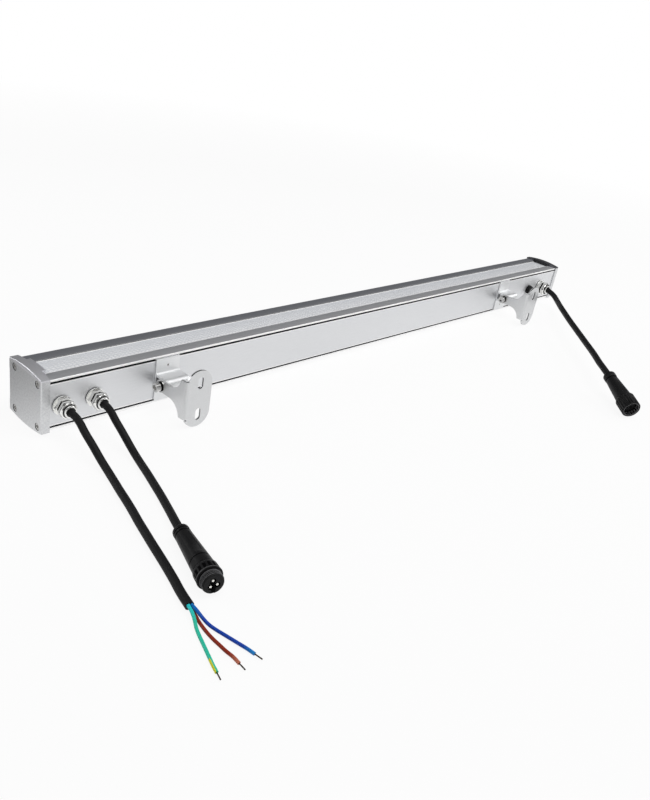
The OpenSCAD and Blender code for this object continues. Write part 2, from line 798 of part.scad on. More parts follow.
module gland_body(port) {
    bore = port[2] + gland_rubber + slip;
    color("#d8d9d6") difference() {
        union() {
            at_port(port[0], -side_wall - tail_l)
                cylinder(r = port[1] - slip, h = side_wall + tail_l + washer_t + over);
            at_port(port[0], washer_t) cylinder(r = port[1] + flange_over, h = flange_t);
            at_port(port[0], washer_t + flange_t) hex_nut(port[1] + hex_over, hex_h);
            at_port(port[0], washer_t + flange_t)
                cylinder(r = port[1] - core_thread, h = hex_h + nut_gap + nut_h / 2);
        }
        at_port(port[0], -side_wall - tail_l - over)
            cylinder(r = bore, h = side_wall + tail_l + nut_at + nut_h + over);
    }
}

module gland_nut(port) {
    half = port[1] + hex_over;
    mouth_r = port[2] + gland_rubber + bore_step;
    color("#dcdddb") at_port(port[0], nut_at) difference() {
        intersection() {
            hex_prism(half, nut_h);
            rotate_extrude() polygon([[0, 0], [half + hex_bevel / 2, 0], [half / cos(30), hex_bevel],
                [half / cos(30), nut_h * nut_shares[0]], [half - hex_bevel / 2, nut_h * nut_shares[1]],
                [half - hex_bevel, nut_h * nut_shares[2]], [mouth_r + nut_skin, nut_h * nut_shares[3]],
                [mouth_r + nut_skin, nut_h * nut_shares[4]], [mouth_r + nut_skin / 2, nut_h], [0, nut_h]]);
        }
        translate([0, 0, -over]) cylinder(r = port[1] - core_thread + slip, h = nut_h / 2 + over + slip);
        translate([0, 0, -over]) cylinder(r = mouth_r, h = nut_h + 2 * over);
    }
}

module gland_seal(port) {
    color("#262626") at_port(port[0], -side_wall - tail_l)
        cylinder(r = port[2] + gland_rubber, h = side_wall + tail_l + seat_at);
}

module power_gland_body() {
    gland_body(power_port);
}

module power_gland_nut() {
    gland_nut(power_port);
}

module power_gland_seal() {
    gland_seal(power_port);
}

module input_gland_body() {
    gland_body(input_port);
}

module input_gland_nut() {
    gland_nut(input_port);
}

module input_gland_seal() {
    gland_seal(input_port);
}

module output_gland_body() {
    gland_body(output_port);
}

module output_gland_nut() {
    gland_nut(output_port);
}

module output_gland_seal() {
    gland_seal(output_port);
}

module gland_washers() {
    color("#2b2b2b") for (port = [power_port, input_port, output_port]) at_port(port[0], 0) difference() {
        cylinder(r = port[1] + flange_over - slip, h = washer_t);
        translate([0, 0, -over]) cylinder(r = port[1] + slip, h = washer_t + 2 * over);
    }
}

module gland_locknuts() {
    color("#d0d0cc") for (port = [power_port, input_port, output_port])
        at_port(port[0], -side_wall - locknut_t) difference() {
            hex_prism(port[1] + locknut_over, locknut_t);
            translate([0, 0, -over]) cylinder(r = port[1], h = locknut_t + 2 * over);
        }
}

module breather_plug() {
    color("#1d1d1f") difference() {
        union() {
            at_port(vent_x, -side_wall - tail_l) cylinder(r = vent_stem_r, h = side_wall + tail_l + over);
            at_port(vent_x, 0) cylinder(r = vent_r, h = vent_flange);
            at_port(vent_x, vent_flange)
                cylinder(r1 = vent_r, r2 = vent_r - vent_flange / 2, h = vent_h - vent_flange);
        }
        for (i = [0 : vent_slots - 1]) at_port(vent_x, 2 * vent_flange) rotate([0, 0, i * 360 / vent_slots])
            translate([vent_r - vent_slot_deep, -vent_slot_w / 2, 0])
                cube([vent_slot_deep + over, vent_slot_w, vent_h]);
    }
}

// Clips, brackets and pivot bolts, drawn round a clip's middle on the bar's axis

// Puts its children, drawn from the middle of a clip, at that clip
module at_clip(x) {
    translate([x, body_y - hw, body_z]) children();
}

// Fillet in the corner between a clip's plate, on its right, and its nose, below it
module nose_corner() {
    difference() {
        translate([-nose_fillet, -clip_t / 2]) square(nose_fillet + clip_t / 2);
        translate([-nose_fillet, nose_fillet]) circle(r = nose_fillet);
    }
}

// Section of a clip: a plate hooked in the grooves, and a hollow nose
module clip_section() {
    difference() {
        union() {
            translate([-clip_gap - clip_t, -clip_half]) square([clip_t, 2 * clip_half]);
            for (b = [0, 1]) mirror([0, b]) {
                translate([-clip_gap - clip_t / 2, clip_half - hook_t])
                    square([clip_t / 2 + groove_deep, hook_t]);
                translate([lip_t + clip_gap, clip_half - hook_t])
                    square([groove_deep - lip_t - 2 * clip_gap, hook_t + undercut]);
            }
            translate([-pivot_reach, pivot_rise - barrel_r])
                square([pivot_reach - clip_gap - clip_t / 2, 2 * barrel_r]);
            translate([-pivot_reach, pivot_rise]) circle(r = barrel_r);
            translate([-clip_gap - clip_t, pivot_rise]) for (b = [0, 1]) mirror([0, b])
                translate([0, barrel_r]) nose_corner();
        }
        translate([bolt_r + barrel_wall - pivot_reach, pivot_rise - barrel_r + nose_wall])
            square([pivot_reach - bolt_r - barrel_wall - clip_gap - clip_t, 2 * (barrel_r - nose_wall)]);
    }
}

// A clip; its set screw goes above the nose or, turned over, below it
module clip(set_side) {
    color("#d3d4d5") difference() {
        along_x(-clip_l / 2, clip_l) clip_section();
        translate([-clip_l / 2 - over, -pivot_reach, pivot_rise]) rotate([0, 90, 0])
            cylinder(r = bolt_r + bore_gap, h = clip_l + 2 * over);
        translate([0, over, set_side * set_rise]) rotate([90, 0, 0])
            cylinder(r = set_r + bore_gap, h = clip_t + clip_gap + 2 * over);
    }
}

module set_screw(set_side) {
    color("#5c5e60") translate([0, 0, set_side * set_rise]) rotate([90, 0, 0]) difference() {
        translate([0, 0, clip_gap]) cylinder(r = set_r, h = clip_t);
        translate([0, 0, clip_gap + clip_t / 2]) hex_prism(set_r * socket_share, clip_t);
    }
}

// Outline of a bracket's flange in Y and Z from the pivot, -Y outwards
module flange_outline() {
    difference() {
        union() {
            circle(r = neck_half);
            translate([-neck_l, -neck_half]) square([neck_l, 2 * neck_half]);
            translate([bend_r - plate_y, -flange_half]) square([plate_y - bend_r - neck_l, 2 * flange_half]);
        }
        for (b = [0, 1]) mirror([0, b]) translate([-neck_l, neck_half + sweep_r]) circle(r = sweep_r);
    }
}

// Outline of a bracket's plate in X and Z from the flange's outer face
module plate_outline() {
    difference() {
        union() {
            for (b = [0, 1]) mirror([0, b]) translate([plate_w / 2, plate_half - plate_r])
                circle(r = plate_r);
            translate([plate_w / 2 - plate_r, plate_r - plate_half])
                square([2 * plate_r, 2 * (plate_half - plate_r)]);
        }
        translate([-over, -flange_half - notch_h]) square([bend_r + over, 2 * (flange_half + notch_h)]);
        for (z = [-slot_space / 2, slot_space / 2]) translate([plate_w / 2 + slot_shift, z]) {
            for (e = [-1, 1]) translate([0, e * (slot_l - slot_w) / 2]) circle(r = slot_w / 2);
            translate([-slot_w / 2, (slot_w - slot_l) / 2]) square([slot_w, slot_l - slot_w]);
        }
    }
}

module bracket() {
    color("#d6d7d8") translate([-flange_x - sheet_t, -pivot_reach, pivot_rise]) difference() {
        union() {
            along_x(0, sheet_t) flange_outline();
            translate([0, sheet_t - plate_y, 0]) rotate([90, 0, 0]) linear_extrude(sheet_t) plate_outline();
            translate([bend_r, bend_r - plate_y, -flange_half]) rotate([0, 0, 180])
                rotate_extrude(angle = 90) translate([bend_r - sheet_t, 0])
                    square([sheet_t, 2 * flange_half]);
        }
        translate([-over, 0, 0]) rotate([0, 90, 0]) cylinder(r = bolt_r + bore_gap, h = sheet_t + 2 * over);
    }
}

// A ring on the pivot's axis, from a distance outside the flange's outer face
module pivot_ring(out, r, t) {
    translate([-flange_x - sheet_t - out - t, -pivot_reach, pivot_rise]) rotate([0, 90, 0])
        difference() {
            cylinder(r = r, h = t);
            translate([0, 0, -over]) cylinder(r = bolt_r + bore_gap, h = t + 2 * over);
        }
}

module flat_washer() {
    color("#c9cbcb") pivot_ring(pivot_gap, flat_r, flat_t);
}

module spring_washer() {
    color("#a9abac") pivot_ring(pivot_gap + flat_t, spring_r, spring_t);
}

module pivot_bolt() {
    head_x = flange_x + sheet_t + pivot_gap + flat_t + spring_t;
    color("#b4b6b7") translate([-head_x, -pivot_reach, pivot_rise]) rotate([0, 90, 0]) difference() {
        union() {
            cylinder(r = bolt_r, h = head_x - clip_l / 2 + bolt_grip);
            translate([0, 0, -bolt_head_h]) cylinder(r = bolt_head_r, h = bolt_head_h);
        }
        translate([0, 0, -bolt_head_h - over]) hex_prism(bolt_head_r * socket_share, bolt_head_h / 2 + over);
    }
}

module left_clip() {
    at_clip(left_clip_x) clip(1);
}

module left_set_screw() {
    at_clip(left_clip_x) set_screw(1);
}

module left_bracket() {
    at_clip(left_clip_x) bracket();
}

module left_pivot_bolt() {
    at_clip(left_clip_x) pivot_bolt();
}

module left_flat_washer() {
    at_clip(left_clip_x) flat_washer();
}

module left_spring_washer() {
    at_clip(left_clip_x) spring_washer();
}

module right_clip() {
    at_clip(right_clip_x) clip(-1);
}

module right_set_screw() {
    at_clip(right_clip_x) set_screw(-1);
}

module right_bracket() {
    at_clip(right_clip_x) bracket();
}

module right_pivot_bolt() {
    at_clip(right_clip_x) pivot_bolt();
}

module right_flat_washer() {
    at_clip(right_clip_x) flat_washer();
}

module right_spring_washer() {
    at_clip(right_clip_x) spring_washer();
}

// Cables, cores and connectors

function plug_dir(heading, rise) = [cos(rise) * cos(heading), cos(rise) * sin(heading), sin(rise)];
input_dir = plug_dir(input_heading, input_rise);
output_dir = plug_dir(output_heading, output_rise);

function last(p) = p[len(p) - 1];
function end_dir(p) = last(p) - p[len(p) - 2];

module power_cable() {
    color("#232324") cord(power_route, cable_r, cable_sides, front, sheath_end_dir);
}

module core(route) {
    cord(route, core_r, core_sides, sheath_end_dir, end_dir(route));
}

module core_earth() {
    color("#35c9a8") core(earth_route);
}

module core_live() {
    color("#8c3a2a") core(live_route);
}

module core_neutral() {
    color("#2a5fc0") core(neutral_route);
}

module core_ends() {
    color("#9a8f80") for (route = [earth_route, live_route, neutral_route])
        aimed(last(route), end_dir(route)) cylinder(r = strand_r, h = strand_l);
}

module input_cable() {
    color("#232324") cord(input_route, cable_r, cable_sides, front, input_dir);
}

module at_input(s) {
    aimed(last(input_route), input_dir) translate([0, 0, s]) children();
}

// Outline of a tapered grip with two ribs cut near the cable's end
module grip_outline(l, r0, r1) {
    w = l * rib_share / 3;
    polygon([[0, 0], [r0 - edge_r, 0], [r0, edge_r], [r0, 2 * w], [r0 - rib_cut, 2 * w],
        [r0 - rib_cut, 3 * w], [r0, 3 * w], [r0, 4 * w], [r0 - rib_cut, 4 * w],
        [r0 - rib_cut, 5 * w], [r0, 5 * w], [r1, l], [0, l]]);
}

module input_grip() {
    color("#27272a") at_input(0) rotate_extrude() grip_outline(in_grip_l, in_grip_r, in_front_r);
}

module input_collar() {
    color("#2c2c2f") at_input(in_grip_l) difference() {
        union() {
            cylinder(r = in_collar_r, h = in_collar_l);
            translate([0, 0, in_collar_l]) cylinder(r = in_flange_r, h = in_flange_l);
        }
        for (i = [0 : notch_count - 1]) rotate([0, 0, (i + 1 / 2) * 360 / notch_count])
            translate([in_collar_r - notch_deep, -notch_w / 2, in_collar_l / 4])
                cube([notch_deep + over, notch_w, in_collar_l / 2]);
    }
}

module input_nose() {
    nose_at = in_grip_l + in_collar_l + in_flange_l;
    turns = floor((in_nose_l - 2 * thread_pitch) / thread_pitch);
    color("#242426") at_input(nose_at) difference() {
        cylinder(r = in_nose_r, h = in_nose_l);
        for (i = [1 : turns]) translate([0, 0, i * thread_pitch]) difference() {
            cylinder(r = in_nose_r + over, h = thread_pitch / 2);
            translate([0, 0, -over]) cylinder(r = in_nose_r - thread_deep, h = thread_pitch + over);
        }
        for (a = pin_turns) rotate([0, 0, a]) translate([pin_circle, 0, in_nose_l - in_hole_deep])
            cylinder(r = in_hole_r, h = in_hole_deep + over);
        translate([in_nose_r - key_h, -key_w / 2, in_nose_l - in_hole_deep])
            cube([key_h + over, key_w, in_hole_deep + over]);
    }
}

module input_pins() {
    nose_end = in_grip_l + in_collar_l + in_flange_l + in_nose_l;
    color("#d9c27a") at_input(nose_end - in_hole_deep) for (a = pin_turns)
        rotate([0, 0, a]) translate([pin_circle, 0, 0]) cylinder(r = pin_r, h = in_hole_deep - pin_tip);
}

module output_cable() {
    color("#232324") cord(output_route, big_cable_r, cable_sides, front, output_dir);
}

module at_output(s) {
    aimed(last(output_route), output_dir) translate([0, 0, s]) children();
}

module output_grip() {
    color("#232326") at_output(0) rotate_extrude() grip_outline(out_grip_l, out_grip_r, out_front_r);
}

// The fixed spigot carries the coupling nut and ends in the socket face
module output_spigot() {
    web_end = 2 * coupling_gap + coupling_web;
    spigot_l = coupling_gap + coupling_l - socket_deep;
    color("#2a2a2c") at_output(out_grip_l) difference() {
        union() {
            cylinder(r = spigot_r, h = spigot_l);
            translate([0, 0, web_end]) cylinder(r = keeper_r, h = keeper_t);
        }
        for (a = pin_turns) rotate([0, 0, a]) translate([pin_circle, 0, spigot_l - in_hole_deep])
            cylinder(r = out_hole_r, h = in_hole_deep + over);
    }
}

module output_contacts() {
    spigot_l = coupling_gap + coupling_l - socket_deep;
    color("#d9c27a") at_output(out_grip_l + spigot_l - in_hole_deep) for (a = pin_turns)
        rotate([0, 0, a]) translate([pin_circle, 0, 0]) difference() {
            cylinder(r = out_hole_r - slip, h = in_hole_deep - contact_tip);
            translate([0, 0, in_hole_deep / 2]) cylinder(r = pin_r + slip, h = in_hole_deep);
        }
}

module coupling_nut() {
    bore = coupling_r - coupling_wall;
    color("#29292b") at_output(out_grip_l + coupling_gap) difference() {
        rotate_extrude() polygon([[0, 0], [coupling_r - edge_r, 0], [coupling_r, edge_r],
            [coupling_r, coupling_l - edge_r], [coupling_r - edge_r, coupling_l], [0, coupling_l]]);
        translate([0, 0, coupling_web]) cylinder(r = bore, h = coupling_l);
        translate([0, 0, -over]) cylinder(r = spigot_r + bore_gap, h = coupling_web + 2 * over);
        for (i = [0 : grip_flats - 1]) rotate([0, 0, i * 360 / grip_flats])
            translate([coupling_r + knurl_r / 2, 0, coupling_l / 4]) cylinder(r = knurl_r, h = coupling_l);
    }
}

housing();
cover();
cover_seal();
lens_bar();
led_board();
leds();
driver_board();
driver_parts();
inner_leads();
end_cap_left();
end_cap_right();
end_gasket_left();
end_gasket_right();
end_screws_left();
end_screws_right();
gland_washers();
gland_locknuts();
power_gland_body();
power_gland_nut();
power_gland_seal();
input_gland_body();
input_gland_nut();
input_gland_seal();
output_gland_body();
output_gland_nut();
output_gland_seal();
breather_plug();
left_clip();
left_set_screw();
left_bracket();
left_pivot_bolt();
left_flat_washer();
left_spring_washer();
right_clip();
right_set_screw();
right_bracket();
right_pivot_bolt();
right_flat_washer();
right_spring_washer();
power_cable();
core_earth();
core_live();
core_neutral();
core_ends();
input_cable();
input_grip();
input_collar();
input_nose();
input_pins();
output_cable();
output_grip();
output_spigot();
output_contacts();
coupling_nut();
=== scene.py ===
# Outdoor wall washer light: an anodised aluminium bar with cast end caps, a prismatic
# cover, two clips with tilting brackets, three cable glands and three short cables.
# Everything is in metres, in the frame of the CAD part: X runs along the bar, -Y is
# the side with the glands and brackets, and +Z is the side that gives the light.
import json
from math import atan2, cos, degrees, radians, sin

import bpy
from mathutils import Matrix, Vector

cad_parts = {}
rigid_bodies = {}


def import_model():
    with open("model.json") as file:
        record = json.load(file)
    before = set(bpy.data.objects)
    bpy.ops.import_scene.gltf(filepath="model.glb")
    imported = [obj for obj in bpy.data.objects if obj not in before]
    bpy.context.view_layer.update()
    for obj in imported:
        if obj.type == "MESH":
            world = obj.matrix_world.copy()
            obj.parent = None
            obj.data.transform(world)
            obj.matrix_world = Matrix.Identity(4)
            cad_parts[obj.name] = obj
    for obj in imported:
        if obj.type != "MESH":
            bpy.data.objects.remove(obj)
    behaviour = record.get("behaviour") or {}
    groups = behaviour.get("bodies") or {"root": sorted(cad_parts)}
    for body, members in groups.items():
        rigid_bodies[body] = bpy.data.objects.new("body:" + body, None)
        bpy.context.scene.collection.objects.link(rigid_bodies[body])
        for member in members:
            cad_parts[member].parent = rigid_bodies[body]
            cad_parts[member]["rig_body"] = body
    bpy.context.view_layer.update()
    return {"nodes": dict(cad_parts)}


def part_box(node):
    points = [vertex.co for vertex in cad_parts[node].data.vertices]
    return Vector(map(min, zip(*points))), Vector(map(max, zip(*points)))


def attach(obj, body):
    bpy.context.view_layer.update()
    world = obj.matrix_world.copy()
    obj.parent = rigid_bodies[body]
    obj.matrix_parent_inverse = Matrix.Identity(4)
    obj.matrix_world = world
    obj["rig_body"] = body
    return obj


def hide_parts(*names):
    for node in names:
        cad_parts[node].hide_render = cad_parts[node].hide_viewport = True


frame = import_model()


# The studio. A white floor and three soft boxes stand round the bar. The room is dark
# behind it. In front of it hang a low and a high bright screen with a dark gap between
# them, so that the metal has something to mirror.

class Wire:
    """An output socket. An expression with wires in it adds Math nodes."""

    def __init__(self, finish, socket):
        self.finish, self.socket = finish, socket

    def math(self, operation, first, second):
        return self.finish.node("ShaderNodeMath", {"operation": operation}, {0: first, 1: second})

    def __add__(self, other):
        return self.math("ADD", self, other)

    def __sub__(self, other):
        return self.math("SUBTRACT", self, other)

    def __rsub__(self, other):
        return self.math("SUBTRACT", other, self)

    def __mul__(self, other):
        return self.math("MULTIPLY", self, other)

    def __gt__(self, other):
        return self.math("GREATER_THAN", self, other)

    def __lt__(self, other):
        return self.math("LESS_THAN", self, other)

    def __pow__(self, other):
        return self.math("POWER", self, other)

    __radd__, __rmul__ = __add__, __mul__

    def between(self, low, high):
        """A mask that is 1 between two values"""
        return (self > low) * (self < high)


class Finish:
    """The nodes of a material or of the world, on the object's own coordinates."""

    def __init__(self, block, surface, sockets):
        block.use_nodes = True
        self.block, self.tree = block, block.node_tree
        self.surface = self.tree.nodes[surface]
        self.shade(sockets)

    def join(self, node, sockets):
        for key, value in sockets.items():
            if isinstance(value, Wire):
                self.tree.links.new(value.socket, node.inputs[key])
            else:
                node.inputs[key].default_value = value

    def shade(self, sockets):
        self.join(self.surface, sockets)

    def node(self, kind, settings, sockets, output=0):
        added = self.tree.nodes.new(kind)
        for key, value in settings.items():
            if key == "stops":
                while len(added.color_ramp.elements) < len(value):
                    added.color_ramp.elements.new(1)
                for stop, (position, colour) in zip(added.color_ramp.elements, value):
                    stop.position, stop.color = position, colour
            else:
                setattr(added, key, value)
        self.join(added, sockets)
        return Wire(self, added.outputs[output])

    def place(self, scale=(1, 1, 1)):
        """The object's coordinates, scaled where a pattern is drawn out"""
        spot = self.node("ShaderNodeTexCoord", {}, {}, "Object")
        return self.node("ShaderNodeMapping", {}, {"Vector": spot, "Scale": scale})

    def axis(self, letter):
        """How far along X, Y or Z a spot of the object lies"""
        return self.node("ShaderNodeSeparateXYZ", {}, {0: self.place()}, letter)

    def noise(self, scale, detail=2, drawn_out=(1, 1, 1)):
        return self.node("ShaderNodeTexNoise", {}, {"Vector": self.place(drawn_out),
            "Scale": scale, "Detail": detail})

    def ramp(self, value, *stops):
        return self.node("ShaderNodeValToRGB", {"stops": stops}, {0: value})

    def blend(self, mask, low, high):
        """The colour low where the mask is 0, and high where it is 1"""
        return self.node("ShaderNodeMix", {"data_type": "RGBA"}, {0: mask, 6: low, 7: high}, 2)

    def range(self, value, low, high, to_low=0.0, to_high=1.0):
        return self.node("ShaderNodeMapRange", {},
            {0: value, 1: low, 2: high, 3: to_low, 4: to_high})

    def bump(self, height, distance, strength):
        return self.node("ShaderNodeBump", {}, {"Height": height, "Distance": distance,
            "Strength": strength})


def grey(level):
    return (level, level, level, 1)


def tone(code):
    """A colour as the shader takes it, from its code as seen on a screen"""
    parts = [int(code[i:i + 2], 16) / 255 for i in (1, 3, 5)]
    return tuple(c / 12.92 if c <= 0.04045 else ((c + 0.055) / 1.055) ** 2.4
        for c in parts) + (1,)


def material(name, sockets):
    return Finish(bpy.data.materials.new(name), "Principled BSDF", sockets)


def coat(piece, finish):
    piece.data.materials.clear()
    piece.data.materials.append(finish.block)


scene = bpy.context.scene
scene.view_settings.view_transform = "Standard"

eye_place, heading, pitch, roll = (-0.8382, -0.6135, 0.4150), -50.95, 63.74, 10.6
focal_length, film_width, nearest, farthest = 35.91, 36, 0.01, 100
eye = bpy.data.objects.new("camera", bpy.data.cameras.new("camera"))
scene.collection.objects.link(eye)
gaze = (Matrix.Rotation(radians(heading), 4, "Z") @ Matrix.Rotation(radians(pitch), 4, "X")
    @ Matrix.Rotation(radians(roll), 4, "Z"))
eye.matrix_world = Matrix.Translation(eye_place) @ gaze
eye.data.lens, eye.data.sensor_width = focal_length, film_width
eye.data.clip_start, eye.data.clip_end = nearest, farthest
scene.camera = eye

world = bpy.data.worlds.new("room")
scene.world = world
room = Finish(world, "Background", {})
seen = room.node("ShaderNodeLightPath", {}, {}, "Is Camera Ray")
toward = room.node("ShaderNodeTexCoord", {}, {}, "Generated")
rise = room.node("ShaderNodeSeparateXYZ", {}, {0: toward}, "Z")
front = room.node("ShaderNodeSeparateXYZ", {}, {0: toward}, "Y")
walls = room.ramp(rise, (0.0, grey(0.1)), (0.25, (0.03, 0.03, 0.033, 1)),
    (0.5, (0.07, 0.07, 0.075, 1)), (1.0, grey(0.3)))
screens = room.ramp(rise, (0.0, grey(0.8)), (0.27, grey(0.8)), (0.33, grey(0.03)),
    (0.6, grey(0.03)), (0.66, grey(0.9)), (1.0, grey(0.7)))
screens_end, walls_start = -0.3, 0.0
tent = room.blend(room.range(front, screens_end, walls_start), screens, walls)
room.shade({"Color": room.blend(seen, tent, grey(1)), "Strength": 1.0})


def soft_box(name, at, aim, width, depth, power):
    """A soft box at a place, turned to a point, with its power in watts"""
    lamp = bpy.data.objects.new(name, bpy.data.lights.new(name, "AREA"))
    lamp.data.shape = "RECTANGLE"
    lamp.data.size, lamp.data.size_y, lamp.data.energy = width, depth, power
    lamp.matrix_world = Matrix.Translation(at) @ (Vector(aim) - Vector(at)).to_track_quat(
        "-Z", "Y").to_matrix().to_4x4()
    scene.collection.objects.link(lamp)


soft_box("overhead", (-0.1, -0.5, 2.2), (0, 0, 0), 1.8, 1.2, 20)
soft_box("front_box", (1.7, -0.85, 1.25), (0, 0, 0), 1.3, 0.9, 10)
soft_box("rear_box", (-1.3, 1.3, 0.8), (-0.45, 0, 0), 0.7, 0.5, 6)

floor_width, floor_drop = 30, 0.0006
shadows_end, all_white, glow_at_bar = 1.1, 2.2, 0.91
mirror_start, mirror_end = 0.0, 0.4
bpy.ops.object.select_all(action="DESELECT")
bpy.ops.mesh.primitive_plane_add(size=floor_width, location=(0, 0, -floor_drop))
floor = bpy.context.object
floor.name = "floor"
paper = material("floor_paper", {"Base Color": grey(0.93), "Roughness": 0.9})
away = paper.node("ShaderNodeVectorMath", {"operation": "LENGTH"}, {0: paper.place()}, "Value")
camera_ray = paper.node("ShaderNodeLightPath", {}, {}, "Is Camera Ray")
glossy_ray = paper.node("ShaderNodeLightPath", {}, {}, "Is Glossy Ray")
clear = paper.range(away, shadows_end, all_white, glow_at_bar, 1.0)
# Painted shadow: as the metal mirrors it, the floor grows darker behind the bar, standing in for
# the bar's shadow there.
painted_floor_shade_in_reflections = paper.ramp(paper.range(paper.axis("Y"), mirror_start, mirror_end),
    (0.0, grey(0.95)), (0.3, grey(0.42)), (1.0, grey(0.05)))
glow = paper.node("ShaderNodeEmission", {}, {"Strength": 1.0,
    "Color": paper.blend(glossy_ray, grey(1), painted_floor_shade_in_reflections)})
lit_paper = paper.node("ShaderNodeMixShader", {}, {0: camera_ray * clear + glossy_ray,
    1: Wire(paper, paper.surface.outputs[0]), 2: glow})
paper.join(paper.tree.nodes["Material Output"], {"Surface": lit_paper})
coat(floor, paper)


# The housing: a metre of extruded aluminium with a clip groove along each edge of its
# sides. It is anodised after it is cut, so fine die lines run along it.

nodes = frame["nodes"]


def softened(name, node, width, rounded=None, radius=0.0):
    """A copy of a CAD node's shape with its triangles joined and its edges broken.
    The edges between corners that are to be rounded get a radius of their own first."""
    flat, sharp = radians(0.5), radians(30)
    piece = bpy.data.objects.new(name, nodes[node].data.copy())
    scene.collection.objects.link(piece)
    bpy.ops.object.select_all(action="DESELECT")
    piece.select_set(True)
    bpy.context.view_layer.objects.active = piece
    bpy.ops.mesh.customdata_custom_splitnormals_clear()
    bpy.ops.object.mode_set(mode="EDIT")
    bpy.ops.mesh.select_all(action="SELECT")
    bpy.ops.mesh.remove_doubles(threshold=1e-6)
    bpy.ops.mesh.dissolve_limited(angle_limit=flat)
    if rounded:
        bpy.ops.mesh.select_mode(type="EDGE")
        bpy.ops.mesh.select_all(action="DESELECT")
        bpy.ops.object.mode_set(mode="OBJECT")
        corners = piece.data.vertices
        for edge in piece.data.edges:
            edge.select = all(rounded(corners[i].co) for i in edge.vertices)
        bpy.ops.object.mode_set(mode="EDIT")
        bpy.ops.mesh.bevel(offset=radius, segments=4)
    bpy.ops.object.mode_set(mode="OBJECT")
    broken = piece.modifiers.new("edges", "BEVEL")
    broken.width, broken.segments = width, 2
    broken.limit_method, broken.angle_limit = "ANGLE", sharp
    bpy.ops.object.modifier_apply(modifier=broken.name)
    bpy.ops.object.shade_smooth_by_angle(angle=sharp)
    evened = piece.modifiers.new("normals", "WEIGHTED_NORMAL")
    evened.keep_sharp = True
    bpy.ops.object.modifier_apply(modifier=evened.name)
    return piece


def set_in(piece, finish, slot, body, *replaced):
    """Finishes a piece, lets it ride on its body, and puts it in the place of CAD nodes"""
    coat(piece, finish)
    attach(piece, body)
    if replaced:
        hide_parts(*replaced)


bay_near, bay_far, bay_floor, bay_top = -0.0007, 0.0557, 0.0052, 0.0577
near_face, strip_top, darkening = -0.0008, 0.0583, (-0.005, 0.05)
# Painted highlights: white bands on the near side along the edges of the clip grooves.
painted_highlight_bands = ((0.004, 0.007), (0.009, 0.01), (0.053, 0.054), (0.056, 0.059))
anodised = material("anodised_aluminium", {"Metallic": 0.85})
die_lines = anodised.noise(2600, 3, drawn_out=(0.02, 1, 1))
haze = anodised.noise(18)
across, level = anodised.axis("Y"), anodised.axis("Z")
# Painted shade: the clip grooves and the bay inside the housing's sides are coloured near black,
# as the shade that falls in them.
inside = across.between(bay_near, bay_far) * level.between(bay_floor, bay_top)
painted_edge_highlights = sum(level.between(*band) for band in painted_highlight_bands) * (across < near_face)
bright = anodised.blend(anodised.range(die_lines, 0.3, 0.7), tone("#e4e5e7"), tone("#e9eaec"))
# Painted shade: the top faces grow darker towards the far side, as the light falls on them.
painted_top_shade = (level > strip_top) * anodised.range(across, *darkening)
outside = anodised.blend(painted_edge_highlights, anodised.blend(painted_top_shade, bright, tone("#a4a6ac")), grey(1))
anodised.shade({"Base Color": anodised.blend(inside, outside, tone("#262628")),
    "Roughness": 0.44 + 0.05 * die_lines + 0.05 * haze,
    "Normal": anodised.bump(die_lines, 0.000004, 0.2)})
bar_low, bar_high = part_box("housing")
lip_height, on_skin = 0.0032, 0.0002


def on_lip(spot):
    """Whether a corner is on the outside of a clip groove's outer lip"""
    at_side = spot.y < bar_low[1] + on_skin or spot.y > bar_high[1] - on_skin
    return at_side and (spot.z < bar_low[2] + lip_height or spot.z > bar_high[2] - lip_height)


set_in(softened("housing_shell", "housing", 0.0003, rounded=on_lip, radius=0.0009), anodised,
    "housing", "body", "housing")


# The cover: one clear prismatic strip of acrylic with a raised rim along each edge and
# rows of small lenses pressed into the field between the rims.

rim_width = 0.0016
field_low, field_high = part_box("cover")
cover_milk = material("prismatic_cover", {"Roughness": 0.2, "IOR": 1.49})
side_on = cover_milk.axis("Y")
rims = (side_on < field_low[1] + rim_width) + (side_on > field_high[1] - rim_width)
field = cover_milk.blend(cover_milk.noise(60), tone("#dee1e6"), tone("#eaecef"))
cover_milk.shade({"Base Color": cover_milk.blend(rims, field, tone("#ffffff"))})
set_in(softened("cover_strip", "cover", 0.0003), cover_milk, "cover", "body", "cover")

lens_step, lens_rows, row_step, lens_radius = 0.0046, 6, 0.0039, 0.0019
lens_sink, bare_ends, flattening = 0.0003, 0.006, 0.62
lens_count = int((field_high[0] - field_low[0] - bare_ends) / lens_step)
middle = (field_low[1] + field_high[1]) / 2
bpy.ops.object.select_all(action="DESELECT")
bpy.ops.mesh.primitive_circle_add(vertices=10, radius=lens_radius, fill_type="NGON",
    location=(-lens_step * (lens_count - 1) / 2, middle - row_step * (lens_rows - 1) / 2,
        field_high[2] - lens_sink))
lenslets = bpy.context.object
lenslets.name = "cover_lenslets"
bpy.ops.object.transform_apply(location=True)
bpy.ops.object.mode_set(mode="EDIT")
bpy.ops.transform.resize(value=(1, flattening, 1))
for inward, upward in ((0.0003, 0.00016), (0.0005, 0.0001)):
    bpy.ops.mesh.inset(thickness=inward)
    bpy.ops.transform.translate(value=(0, 0, upward))
bpy.ops.object.mode_set(mode="OBJECT")
for count, step in ((lens_rows, (0, row_step, 0)), (lens_count, (lens_step, 0, 0))):
    repeat = lenslets.modifiers.new("rows", "ARRAY")
    repeat.use_relative_offset, repeat.use_constant_offset = False, True
    repeat.count, repeat.constant_offset_displace = count, step
    bpy.ops.object.modifier_apply(modifier=repeat.name)
bpy.ops.object.shade_smooth_by_angle(angle=radians(40))
lens_clear = material("lenslets", {"Roughness": 0.1, "IOR": 1.49})
half_field = 0.012
